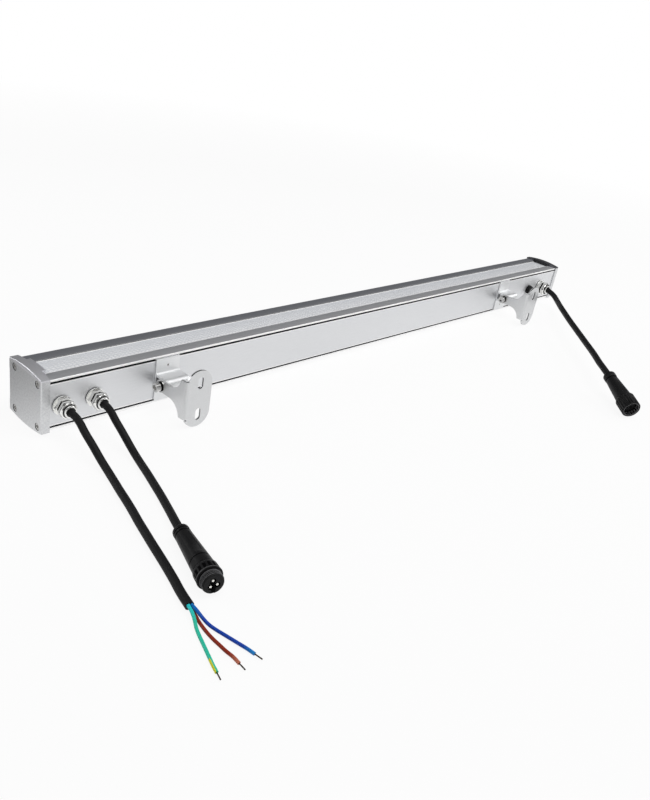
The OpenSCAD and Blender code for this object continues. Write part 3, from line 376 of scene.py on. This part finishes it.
# Painted shade: the lenses grow darker towards the far side of the field, with a little random
# tone mixed in.
farther = lens_clear.range(lens_clear.axis("Y"), middle - half_field, middle + half_field)
painted_far_shade_and_tone = farther * 0.8 + 0.2 * lens_clear.noise(400)
lens_clear.shade({"Base Color": lens_clear.blend(painted_far_shade_and_tone, tone("#ffffff"), tone("#d6d8de"))})
set_in(lenslets, lens_clear, "cover", "body")


# The seal: a line of black silicone that beds the cover on the housing's ledges. It is
# drawn along the joint by hand, so its surface is a little smeared lengthwise.

sealant = material("black_sealant", {"Roughness": 0.55})
smear = sealant.noise(900, drawn_out=(0.3, 1, 1))
sealant.shade({"Base Color": sealant.blend(smear, tone("#202022"), tone("#2c2c2e")),
    "Normal": sealant.bump(smear, 0.0001, 0.4)})
coat(nodes["cover_seal"], sealant)


# What lies inside: the LED board with its LEDs under the lens bar, and the driver board
# with its parts in the bay below, joined by sleeved leads.

def grained(name, low, high, scale, roughness, metallic=0.0, shine=0.5):
    """A finish of two tones in a fine grain, with that grain as its relief"""
    grain_depth = 0.00005
    finish = material(name, {"Metallic": metallic, "Specular IOR Level": shine})
    grain = finish.noise(scale, 3)
    spread = finish.range(grain, 0.35, 0.65)
    finish.shade({"Base Color": finish.blend(spread, tone(low), tone(high)),
        "Roughness": roughness + 0.1 * grain, "Normal": finish.bump(grain, grain_depth, 0.5)})
    return finish


coat(nodes["lens_bar"], grained("lens_acrylic", "#e6e8ea", "#f2f3f4", 200, 0.08))
coat(nodes["led_board"], grained("white_solder_mask", "#dfe0dc", "#ececea", 900, 0.35))
coat(nodes["leds"], grained("led_phosphor", "#d9c98a", "#ead97f", 1200, 0.4))
coat(nodes["driver_board"], grained("board_laminate", "#2f5a3c", "#3b6a48", 700, 0.4))
coat(nodes["driver_parts"], grained("driver_housings", "#2b2b2c", "#3c3c3e", 500, 0.45))
coat(nodes["inner_leads"], grained("lead_sleeves", "#303032", "#3a3a3c", 800, 0.5))


# The end caps: die-cast aluminium, sprayed silver grey over the grain of the casting.
# Each closes one end of the housing on a gasket of black rubber.

cap_low, cap_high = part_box("end_cap_left")
outer_face, inner_face, crown_rise = -cap_low[0], -cap_high[0], 0.0585
screw_places = ((0.0038, 0.0089), (0.0038, 0.0541), (0.0468, 0.0089), (0.0468, 0.0541))
recess_radius, seam_inward, seam_outward = 0.0039, 0.0002, 0.0003
gap_shadow_outward, gap_shadow_back = 0.001, -0.0005
cast = material("cast_aluminium", {})
pits, clouds = cast.noise(1500, 4), cast.noise(480, 4)
endways, aside, aloft = cast.axis("X"), cast.axis("Y"), cast.axis("Z")
# Painted shade: a dark disc round each screw, where shade falls in the cap's screw recess.
painted_recess_shade = sum((aside - back) ** 2 + (aloft - up) ** 2 < recess_radius ** 2
    for back, up in screw_places)
# Painted light and shade: the left cap's crown is painted light and a little less metallic, the
# right cap's crown darker, though the caps are one casting.
crown = aloft > cap_low[2] + crown_rise
painted_lit_left_crown, painted_shaded_right_crown = crown * (endways < 0), crown * (endways > 0)
# Painted shade: the inner edge of the right cap is dark, where shade falls in the joint with the
# housing.
painted_seam_shade = endways.between(inner_face - seam_inward, inner_face + seam_outward)
# Painted shadow: the first millimetre of the right cap's skirt, on the front side, is dark as a
# shadowed gap.
painted_gap_shadow = endways.between(inner_face - seam_inward, inner_face + gap_shadow_outward)
painted_gap_shadow = painted_gap_shadow * (aside < gap_shadow_back)
speckled = cast.range(clouds * 0.5 + pits * 0.5, 0.38, 0.62)
skin = cast.blend(speckled, tone("#d0d1d3"), tone("#e6e7e8"))
skin = cast.blend(painted_shaded_right_crown, skin, tone("#727277"))
skin = cast.blend(painted_lit_left_crown, skin, tone("#e6e6ea"))
skin = cast.blend(painted_seam_shade, skin, tone("#38383a"))
cast.shade({"Base Color": cast.blend(painted_recess_shade + painted_gap_shadow, skin, tone("#1c1c1e")),
    "Metallic": 0.85 - 0.1 * painted_lit_left_crown,
    "Roughness": 0.3 + 0.16 * clouds + 0.06 * pits,
    "Normal": cast.bump(pits * 0.6 + clouds, 0.0003, 0.5)})
rubber = grained("black_rubber", "#1d1d1e", "#29292a", 1800, 0.6)
side_edge, crown_edge = 0.0005, 0.0035


def on_rim(spot):
    """Whether a corner is on the edge round a cap's outer face"""
    return abs(spot.x) > outer_face - on_skin and (
        spot.y < cap_low[1] + side_edge or spot.y > cap_high[1] - side_edge
        or spot.z < cap_low[2] + crown_edge or spot.z > cap_high[2] - crown_edge)


for side in ("left", "right"):
    cap = "end_cap_" + side
    set_in(softened(cap + "_casting", cap, 0.0005, rounded=on_rim, radius=0.0015), cast,
        "cap", "body", cap)
    coat(nodes["end_gasket_" + side], rubber)


# The end screws: four stainless socket screws to a cap, turned and polished, with their
# heads sunk in the cap's recesses and their threads in the housing's screw ports.

steel = material("stainless_steel", {"Metallic": 1.0})
turning = steel.noise(1400, 3)
steel.shade({"Base Color": steel.blend(turning, tone("#c3c3c2"), tone("#dad9d7")),
    "Roughness": 0.12 + 0.1 * turning, "Normal": steel.bump(turning, 0.00001, 0.4)})
for side in ("left", "right"):
    screws = "end_screws_" + side
    set_in(softened(screws + "_turned", screws, 0.0002), steel, "steel", "body", screws)


# The glands: nickel-plated brass with a rubber seal round each cable. Each stands on a
# rubber washer and is held from inside by a locknut; its nut closes the seal.

def facing(at, along):
    """The place of a piece whose own Z axis runs along a direction"""
    return Matrix.Translation(at) @ Vector(along).to_track_quat("Z", "Y").to_matrix().to_4x4()


def turned(name, outline, place, sides=48):
    """A turned piece from its outline: distance along the axis and radius, in millimetres"""
    bpy.ops.object.select_all(action="DESELECT")
    at, wide = outline[0]
    bpy.ops.mesh.primitive_circle_add(vertices=sides, radius=wide / 1000,
        location=(0, 0, at / 1000))
    piece = bpy.context.object
    piece.name = name
    bpy.ops.object.transform_apply(location=True)
    bpy.ops.object.mode_set(mode="EDIT")
    bpy.ops.mesh.select_mode(type="VERT")
    bpy.ops.mesh.select_all(action="SELECT")
    for further, radius in outline[1:]:
        bpy.ops.mesh.extrude_region_move(
            TRANSFORM_OT_translate={"value": (0, 0, (further - at) / 1000)})
        bpy.ops.transform.resize(value=(radius / wide, radius / wide, 1),
            center_override=(0, 0, 0))
        at, wide = further, radius
    bpy.ops.mesh.select_all(action="SELECT")
    bpy.ops.mesh.remove_doubles(threshold=1e-6)
    bpy.ops.mesh.fill_holes(sides=0)
    bpy.ops.mesh.normals_make_consistent(inside=False)
    bpy.ops.object.mode_set(mode="OBJECT")
    piece.matrix_world = place
    bpy.ops.object.transform_apply(location=True, rotation=True, scale=True)
    bpy.ops.object.shade_smooth_by_angle(angle=radians(35))
    return piece


seat, gland_height = -0.0015, 0.03
gland_ports = (("power", -0.478, 7.4), ("input", -0.442, 7.4), ("output", 0.447, 9))
thread_start, thread_end, thread_ridges = 7.5, 9, (7.6, 8.1, 8.6)
thread_wall, thread_root, thread_crest, half_ridge, whole_ridge = -1, -0.2, 0.5, 0.15, 0.3
painted_reflection_bands = ((-0.0116, -0.0105), (-0.0146, -0.0139), (-0.0179, -0.0166))
shadow = grained("thread_in_shadow", "#0a0a0a", "#141414", 900, 0.6, shine=0.05)
nickel = material("nickel_plate", {})
tarnish = nickel.noise(140, 3)
outward = nickel.axis("Y")
# Painted shade and dark reflections: black, rougher, less metallic bands round each gland at set
# heights along it.
painted_shade_and_reflection = sum(outward.between(*band) for band in painted_reflection_bands)
plating = nickel.blend(tarnish, tone("#f0f0ed"), tone("#fbfbf9"))
nickel.shade({"Base Color": nickel.blend(painted_shade_and_reflection, plating, tone("#0c0c0c")),
    "Metallic": 0.85 - 0.6 * painted_shade_and_reflection, "Roughness": 0.05 + 0.06 * tarnish + 0.4 * painted_shade_and_reflection})
coat(nodes["gland_washers"], rubber)
coat(nodes["gland_locknuts"], nickel)
for port, at, radius in gland_ports:
    for part in ("body", "nut"):
        node = port + "_gland_" + part
        set_in(softened(node + "_plated", node, 0.0003), nickel, "nickel", "body", node)
    bore, root, crest = (radius + more for more in (thread_wall, thread_root, thread_crest))
    outline = [(thread_start, bore), (thread_start, root)]
    for ridge in thread_ridges:
        outline += [(ridge, root), (ridge + half_ridge, crest), (ridge + whole_ridge, root)]
    outline += [(thread_end, root), (thread_end, bore), (thread_start, bore)]
    thread = turned(port + "_gland_thread", outline,
        facing((at, seat, gland_height), (0, -1, 0)))
    set_in(thread, shadow, "nickel", "body")
    coat(nodes[port + "_gland_seal"], rubber)


# The breather plug: moulded in black nylon and screwed into the housing beside the right
# gland, where it lets the housing breathe and keeps water out.

nylon = grained("black_nylon", "#111112", "#1a1a1b", 1300, 0.4, shine=0.12)
set_in(softened("breather_plug_moulded", "breather_plug", 0.0003), nylon, "plug", "body",
    "breather_plug")


# The clips: short lengths of drawn and anodised aluminium. A clip slides in the grooves
# of the housing until its set screw is done up.

drawn = material("drawn_aluminium", {"Metallic": 0.75})
streak = drawn.noise(1800, 3, drawn_out=(0.05, 1, 1))
drawn.shade({"Base Color": drawn.blend(streak, tone("#e8e9ea"), tone("#f2f3f4")),
    "Roughness": 0.34 + 0.1 * streak, "Normal": drawn.bump(streak, 0.00001, 0.3)})
for side in ("left", "right"):
    clip = side + "_clip"
    set_in(softened(clip + "_extrusion", clip, 0.0003), drawn, "clip", clip, clip)


# The brackets: punched from aluminium sheet, bent, tumbled and anodised, with their
# sheared edge painted dark as shade. A bracket tilts on its clip's pivot bolt.

edge_shade_band = (-0.0577, -0.0565)
satin = material("satin_aluminium", {"Metallic": 0.7})
tumble = satin.noise(700, 4)
lengthways = satin.axis("X")
at_brackets = lengthways.between(-0.3675, 0.0) + (lengthways > 0.309)
# Painted shade: the sheared edge of the sheet is coloured dark, where shade falls along it.
painted_edge_shade = satin.axis("Y").between(*edge_shade_band) * at_brackets
sheet = satin.blend(tumble, tone("#d6d7d8"), tone("#e1e2e3"))
satin.shade({"Base Color": satin.blend(painted_edge_shade, sheet, tone("#3a3a3c")),
    "Roughness": 0.3 + 0.1 * tumble, "Normal": satin.bump(tumble, 0.00002, 0.4)})
for side in ("left", "right"):
    bracket = side + "_bracket"
    set_in(softened(bracket + "_pressing", bracket, 0.0002), satin, "bracket", bracket, bracket)


# The clips' screws: a stainless set screw that locks each clip, and a pivot bolt with a
# flat washer and a spring washer that clamps its bracket.

for side in ("left", "right"):
    for part in ("set_screw", "pivot_bolt", "flat_washer", "spring_washer"):
        node = side + "_" + part
        metal = shadow if part == "spring_washer" else steel
        set_in(softened(node + "_steel", node, 0.0002), metal, "steel",
            nodes[node]["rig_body"], node)


# The power cable: rubber-sheathed, out of its gland, down to the ground and along it to
# the end of its sheath, where its three cores come out.

def laid(name, route, radius):
    """A cord on a smooth curve through the points of its route, given in millimetres"""
    line = bpy.data.curves.new(name, "CURVE")
    line.dimensions, line.resolution_u = "3D", 6
    line.bevel_depth, line.bevel_resolution, line.use_fill_caps = radius, 6, True
    spline = line.splines.new("BEZIER")
    spline.bezier_points.add(len(route) - 1)
    for point, place in zip(spline.bezier_points, route):
        point.co = [c / 1000 for c in place]
        point.handle_left_type = point.handle_right_type = "AUTO"
    piece = bpy.data.objects.new(name, line)
    scene.collection.objects.link(piece)
    return piece


def cord_length(route):
    """The length of a route in metres"""
    return sum((Vector(b) - Vector(a)).length for a, b in zip(route, route[1:])) / 1000


power_route = [(-478, -19, 30), (-478.8, -33.5, 28.5), (-480.1, -47.7, 22.7),
    (-480.4, -62.3, 15.8), (-480.9, -76.6, 8.8), (-482.4, -91.5, 4.5), (-486, -106.6, 4),
    (-490, -121.8, 4), (-493.7, -137, 4), (-497.7, -152.1, 4), (-502, -167, 4),
    (-506, -182.2, 4), (-510, -197.4, 4), (-513.8, -212.6, 4), (-517.7, -227.7, 4),
    (-521.9, -242.9, 4), (-526.4, -257.8, 4), (-530, -273, 4)]
cable_radius = 0.0038
sheath = material("cable_sheath", {"Specular IOR Level": 0.18})
matt, scuffs = sheath.noise(1600, 3), sheath.noise(90, 3)
sheath.shade({"Base Color": sheath.blend(scuffs, tone("#151516"), tone("#1e1e1f")),
    "Roughness": 0.5 + 0.15 * matt, "Normal": sheath.bump(matt, 0.00005, 0.5)})
power = laid("power_lead", power_route, cable_radius)
set_in(power, sheath, "cable", "body", "power_cable")
cord_length(power_route)


# The cores: three soft insulated wires that lie loose on the ground, blue, brown, and
# green-yellow for the earth. Their tones shift a little along their length.

core_routes = {
    "earth": [(-531.3, -272.74, 5.2), (-533, -279.5, 4.6), (-535.5, -286, 3.4),
        (-538.5, -292, 2.2), (-541, -298.5, 1.5), (-543.5, -305.5, 1.5), (-546, -312.5, 1.5),
        (-548.5, -319.5, 1.5), (-551, -326.5, 1.5), (-553, -333, 1.5)],
    "live": [(-530, -273, 2.2), (-530.5, -280, 1.8), (-532.5, -287, 1.5), (-534, -294, 1.5),
        (-535, -301, 1.5), (-535.5, -308, 1.5), (-535.5, -315, 1.5), (-535.5, -322, 1.5),
        (-535, -329, 1.5), (-535.5, -336, 1.5)],
    "neutral": [(-528.5, -273.3, 4.8), (-529, -280, 4.6), (-529.3, -287, 3.2),
        (-529, -294, 1.8), (-528, -301, 1.5), (-526.5, -308, 1.5), (-525, -315, 1.5),
        (-523.5, -322, 1.5), (-522, -329, 1.5), (-521, -336, 1.5)]}
core_tones = {"earth": ("#24d6dc", "#2fcfae", "#3fd8a0"),
    "live": ("#6e2a1c", "#942c16", "#c8745a"), "neutral": ("#0f82d2", "#1446b4", "#1e86d2")}
core_radius, core_tips, sheath_end, stripe_start = 0.0014, -0.336, -0.273, -0.321
stripe_lean, stripe_line = (0.949, 0.316), -0.42
for core, route in core_routes.items():
    sleeve = laid("core_sleeve_" + core, route, core_radius)
    jacket = material("sleeve_" + core, {"Specular IOR Level": 0.3})
    reach, sideways = jacket.axis("Y"), jacket.axis("X")
    first, second, third = (tone(code) for code in core_tones[core])
    shades = jacket.ramp(jacket.range(reach, core_tips, sheath_end), (0.0, third),
        (0.03, third), (0.16, second), (0.75, second), (1.0, first))
    if core == "earth":
        leaning = stripe_lean[0] * sideways - stripe_lean[1] * reach
        stripe = (reach < stripe_start) * (leaning < stripe_line)
        shades = jacket.blend(stripe, shades, tone("#e6e62a"))
    fine = jacket.noise(900, 3)
    jacket.shade({"Base Color": shades, "Roughness": 0.35 + 0.1 * fine,
        "Normal": jacket.bump(fine, 0.00005, 0.4)})
    set_in(sleeve, jacket, "core_" + core, "body", "core_" + core)
    cord_length(route)


# The cores' stripped ends: six tinned copper strands each, twisted by hand, that stand
# straight out of the insulation.

strand_count, strand_radius, strand_offset = 6, 0.00019, 0.00037
strand_steps, strand_step, twist = 7, 0.001, radians(24)
tinned = grained("tinned_strands", "#2e2620", "#5c4c3e", 2500, 0.3, metallic=0.6)
for core, route in core_routes.items():
    bpy.ops.object.select_all(action="DESELECT")
    bpy.ops.mesh.primitive_circle_add(vertices=6, radius=strand_radius, fill_type="NGON",
        location=(strand_offset, 0, 0))
    bundle = bpy.context.object
    bundle.name = "strands_" + core
    bpy.ops.object.transform_apply(location=True)
    bpy.ops.object.mode_set(mode="EDIT")
    for step in range(strand_steps):
        bpy.ops.mesh.extrude_region_move(
            TRANSFORM_OT_translate={"value": (0, 0, strand_step)})
        bpy.ops.transform.rotate(value=twist, orient_axis="Z", center_override=(0, 0, 0))
    bpy.ops.mesh.select_all(action="SELECT")
    for strand in range(strand_count - 1):
        bpy.ops.mesh.duplicate_move()
        bpy.ops.transform.rotate(value=radians(360 / strand_count), orient_axis="Z",
            center_override=(0, 0, 0))
    bpy.ops.mesh.select_all(action="SELECT")
    bpy.ops.mesh.normals_make_consistent(inside=False)
    bpy.ops.object.mode_set(mode="OBJECT")
    last, before = (Vector(point) / 1000 for point in (route[-1], route[-2]))
    bundle.matrix_world = facing(last, last - before)
    bpy.ops.object.transform_apply(location=True, rotation=True, scale=True)
    bpy.ops.object.shade_smooth_by_angle(angle=radians(40))
    set_in(bundle, tinned, "strands", "body")
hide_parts("core_ends")


# The input cable and its male connector: a rubber-sheathed cable with a moulded nylon
# grip, a windowed collar with a bright rim, and a threaded nose with three tinned pins.

def pointing(at, turn, lift):
    """The place of a connector at the end of its cable, from its turn and lift in degrees"""
    turn, lift = radians(turn), radians(lift)
    return facing(at, (cos(lift) * cos(turn), cos(lift) * sin(turn), sin(lift)))


def pick(piece, wanted):
    """Selects the faces of a piece that are wanted, and no others"""
    bpy.ops.object.mode_set(mode="EDIT")
    bpy.ops.mesh.select_mode(type="FACE")
    bpy.ops.mesh.select_all(action="DESELECT")
    bpy.ops.object.mode_set(mode="OBJECT")
    for face in piece.data.polygons:
        face.select = wanted(face)
    bpy.ops.object.mode_set(mode="EDIT")


def toned(piece, finish, wanted):
    """Gives some of a piece's faces a second finish"""
    piece.data.materials.append(finish.block)
    for face in piece.data.polygons:
        if wanted(face):
            face.material_index = len(piece.data.materials) - 1


def banded(piece, place, finish, *spans):
    """Gives the faces in some spans along a piece, in millimetres, a second finish"""
    back = place.inverted()
    toned(piece, finish, lambda face: any(
        low < (back @ face.center).z * 1000 < high for low, high in spans))


def pressed(piece, place, span, every, share, width, depth, offset=0.0, side=1, finish=None):
    """Presses evenly spaced fields into a turned piece, over a span along it in millimetres.
    Each takes a share of every so many degrees; side is -1 for a bore."""
    back, (low, high) = place.inverted(), span

    def wanted(face):
        centre = back @ face.center
        radial = Vector((centre.x, centre.y, 0)).normalized()
        angle = (degrees(atan2(centre.y, centre.x)) - offset) % every
        return (low < centre.z * 1000 < high and angle < every * share
            and side * radial.dot(back.to_3x3() @ face.normal) > 0.7)

    pick(piece, wanted)
    bpy.ops.mesh.inset(thickness=width, depth=-depth)
    bpy.ops.object.mode_set(mode="OBJECT")
    if finish:
        toned(piece, finish, lambda face: face.select)


connector = material("moulded_connector", {"Specular IOR Level": 0.14})
texture = connector.noise(1100, 3)
connector.shade({"Base Color": connector.blend(texture, tone("#171718"), tone("#202021")),
    "Roughness": 0.36 + 0.12 * texture, "Normal": connector.bump(texture, 0.00006, 0.4)})
contacts = grained("tinned_brass", "#e6e4da", "#f4f3ee", 1200, 0.15, metallic=0.7)
shadowed = grained("nylon_in_the_dark", "#060607", "#0b0b0c", 1100, 0.6, shine=0.02)
lit = grained("nylon_in_the_light", "#4a4a4b", "#5a5a5b", 1100, 0.35, shine=0.3)
# Painted highlight: a lighter grey nylon for thread that catches the light.
painted_thread_highlight = grained("nylon_thread", "#5a5a5c", "#6e6e70", 1100, 0.4, shine=0.3)

in_place = pointing((-0.4835, -0.1995, 0.0075), 252, 3.5)
in_back = in_place.inverted()
in_grip = turned("input_grip_moulded", [(0, 4), (0, 5.6), (0.35, 6.5), (1.1, 7.1), (2.2, 7.3),
    (4.2, 7.3), (4.35, 6.7), (5.6, 6.7), (5.75, 7.3), (7.6, 7.3), (7.75, 6.7), (9, 6.7),
    (9.15, 7.3), (11.2, 7.35), (14, 7.5), (42, 8.95), (46.6, 9.2), (46.8, 8.8), (47.6, 8.8),
    (47.8, 9.3), (48.5, 9.3)], in_place, 72)
pressed(in_grip, in_place, (20, 36), 180, 0.25, 0.0006, 0.0003, offset=67.5)
collar = turned("input_collar_moulded", [(48.5, 7), (48.5, 9.3), (56.4, 9.7), (56.5, 9.2),
    (57, 9.2), (57.1, 9.9), (58, 10.5), (60.6, 10.6), (66, 10.7), (66.4, 10.7), (66.5, 10.9),
    (67.8, 10.9), (68.2, 10.5), (68.2, 7)], in_place, 80)
nose_front, front_depth, edge_radius, hole_reach = 0.0755, 0.0765, 0.0088, 0.0018


def on_front(spot):
    """Whether a corner is on the outer edge of the nose's front"""
    local = in_back @ spot
    return local.z > nose_front and local.xy.length > edge_radius


nose = softened("input_nose_moulded", "input_nose", 0.0002, rounded=on_front, radius=0.0014)
for piece, part in ((in_grip, "grip"), (collar, "collar"), (nose, "nose")):
    set_in(piece, connector, "connector", "body", "input_" + part)
pressed(collar, in_place, (60.7, 65.9), 22.5, 0.6, 0.0002, 0.0012, offset=11.25,
    finish=shadowed)
banded(collar, in_place, shadowed, (56.3, 57.2))
banded(in_grip, in_place, shadowed, (4.3, 5.7), (7.7, 9.1), (46.7, 47.7))
pin_spots = [(in_back @ spot.co).xy for spot in nodes["input_pins"].data.vertices]


def in_mouth(face):
    """Whether a face of the nose is its dark front, or lies in a pin's hole"""
    centre = in_back @ face.center
    forward = (in_back.to_3x3() @ face.normal).z > 0.95
    return centre.z > front_depth and forward or any(
        (centre.xy - spot).length < hole_reach for spot in pin_spots)


toned(nose, shadowed, in_mouth)
screw_start, screw_end, screw_ridges = 68.4, 75, (68.9, 70.5, 72.1, 73.7)
screw_bore, screw_root, screw_crest, highlight_from = 8, 8.8, 9.3, 0.0089
screw_half_ridge, screw_ridge = 0.4, 0.8
outline = [(screw_start, screw_bore), (screw_start, screw_root)]
for ridge in screw_ridges:
    outline += [(ridge, screw_root), (ridge + screw_half_ridge, screw_crest),
        (ridge + screw_ridge, screw_root)]
outline += [(screw_end, screw_root), (screw_end, screw_bore), (screw_start, screw_bore)]
screw = turned("input_nose_thread", outline, in_place)
set_in(screw, shadowed, "connector", "body")
# Painted highlight: the crests of the nose's thread are lighter grey than its dark roots.
toned(screw, painted_thread_highlight, lambda face: (in_back @ face.center).xy.length > highlight_from)
bright_rim = turned("input_collar_rim", [(66.5, 10.5), (66.7, 10.95), (67.4, 11), (67.7, 10.6),
    (66.5, 10.5)], in_place, 72)
set_in(bright_rim, lit, "connector", "body")
coat(nodes["input_pins"], contacts)

input_route = [(-442, -19, 30), (-443, -31, 28.7), (-444.5, -43.2, 24), (-444.8, -55.8, 17.4),
    (-445, -68.2, 10.3), (-446.4, -81, 5.6), (-449.2, -94.3, 4), (-452.8, -107.7, 4),
    (-456.6, -121, 4), (-460.5, -134.3, 4), (-464.5, -147.6, 4), (-468.9, -160.7, 4.3),
    (-473.7, -173.6, 5.3), (-478.8, -186.5, 6.6), (-483.5, -199.5, 7.5)]
signal_in = laid("input_lead", input_route, cable_radius)
set_in(signal_in, sheath, "cable", "body", "input_cable")
cord_length(input_route)


# The output cable and its female connector: a thicker cable that keeps off the ground by
# its own stiffness, with a moulded grip, a spigot with three contacts, and a ribbed
# coupling nut that turns on the spigot and has its thread moulded inside.

out_place = pointing((0.1863, -0.2617, 0.0289), 236.1, -13.6)
out_grip = turned("output_grip_moulded", [(0, 4.4), (0, 6.5), (0.4, 7.5), (1.3, 8.1),
    (2.4, 8.3), (7.4, 8.3), (8.2, 8.1), (8.8, 7.6), (10.2, 7.6), (11, 7.9), (14, 8.15),
    (42, 10.1), (47.4, 10.5), (48.2, 10.4), (48.5, 10)], out_place, 72)
pressed(out_grip, out_place, (20, 36), 180, 0.25, 0.0006, 0.0003, offset=67.5)
spigot = softened("output_spigot_moulded", "output_spigot", 0.0003)
for piece, part in ((out_grip, "grip"), (spigot, "spigot")):
    set_in(piece, connector, "connector", "body", "output_" + part)
banded(out_grip, out_place, shadowed, (8.7, 10.3))
coat(nodes["output_contacts"], contacts)
ring = turned("coupling_nut_moulded", [(48.8, 8.8), (48.8, 11.3), (49.3, 12), (50.2, 12.4),
    (52, 12.4), (68.6, 12.4), (69.8, 11.5), (69.8, 11), (69.2, 10.4), (51.4, 10.4),
    (51.4, 8.8), (48.8, 8.8)], out_place, 72)
pressed(ring, out_place, (52.5, 68), 20, 0.45, 0.0001, 0.0007, offset=2.5)
set_in(ring, connector, "connector", "coupling_nut", "coupling_nut")
tube = turned("coupling_nut_thread", [(63.2, 10.45), (69.3, 10.45), (69.3, 9.9), (68.9, 9.6),
    (63.6, 9.6), (63.2, 10.45)], out_place, 72)
# Painted light: the thread inside the coupling nut is lighter grey than the nut, as if lit
# through its mouth; its pressed grooves are painted shade.
set_in(tube, painted_thread_highlight, "connector", "coupling_nut")
pressed(tube, out_place, (63.7, 68.8), 20, 0.5, 0.0001, 0.0004, side=-1, finish=shadowed)

output_route = [(447, -19, 30), (441.3, -36, 26.5), (430.7, -49.1, 23.6), (416.1, -59.7, 24.9),
    (399.6, -70, 27.6), (382.8, -80.7, 30.2), (366.7, -92.3, 32), (351.5, -104.9, 32.6),
    (337, -118, 32.4), (323, -131.4, 31.9), (309.2, -144.9, 31.5), (295.5, -158.4, 31),
    (281.7, -171.6, 30.8), (267.6, -184.5, 30.9), (253.3, -197.3, 31.3), (239, -210, 31.7),
    (224.5, -222.5, 31.9), (210, -234.7, 32), (196.9, -247.5, 31.6), (186.3, -261.7, 28.9)]
signal_out = laid("output_lead", output_route, 0.0044)
set_in(signal_out, sheath, "cable", "body", "output_cable")
cord_length(output_route)
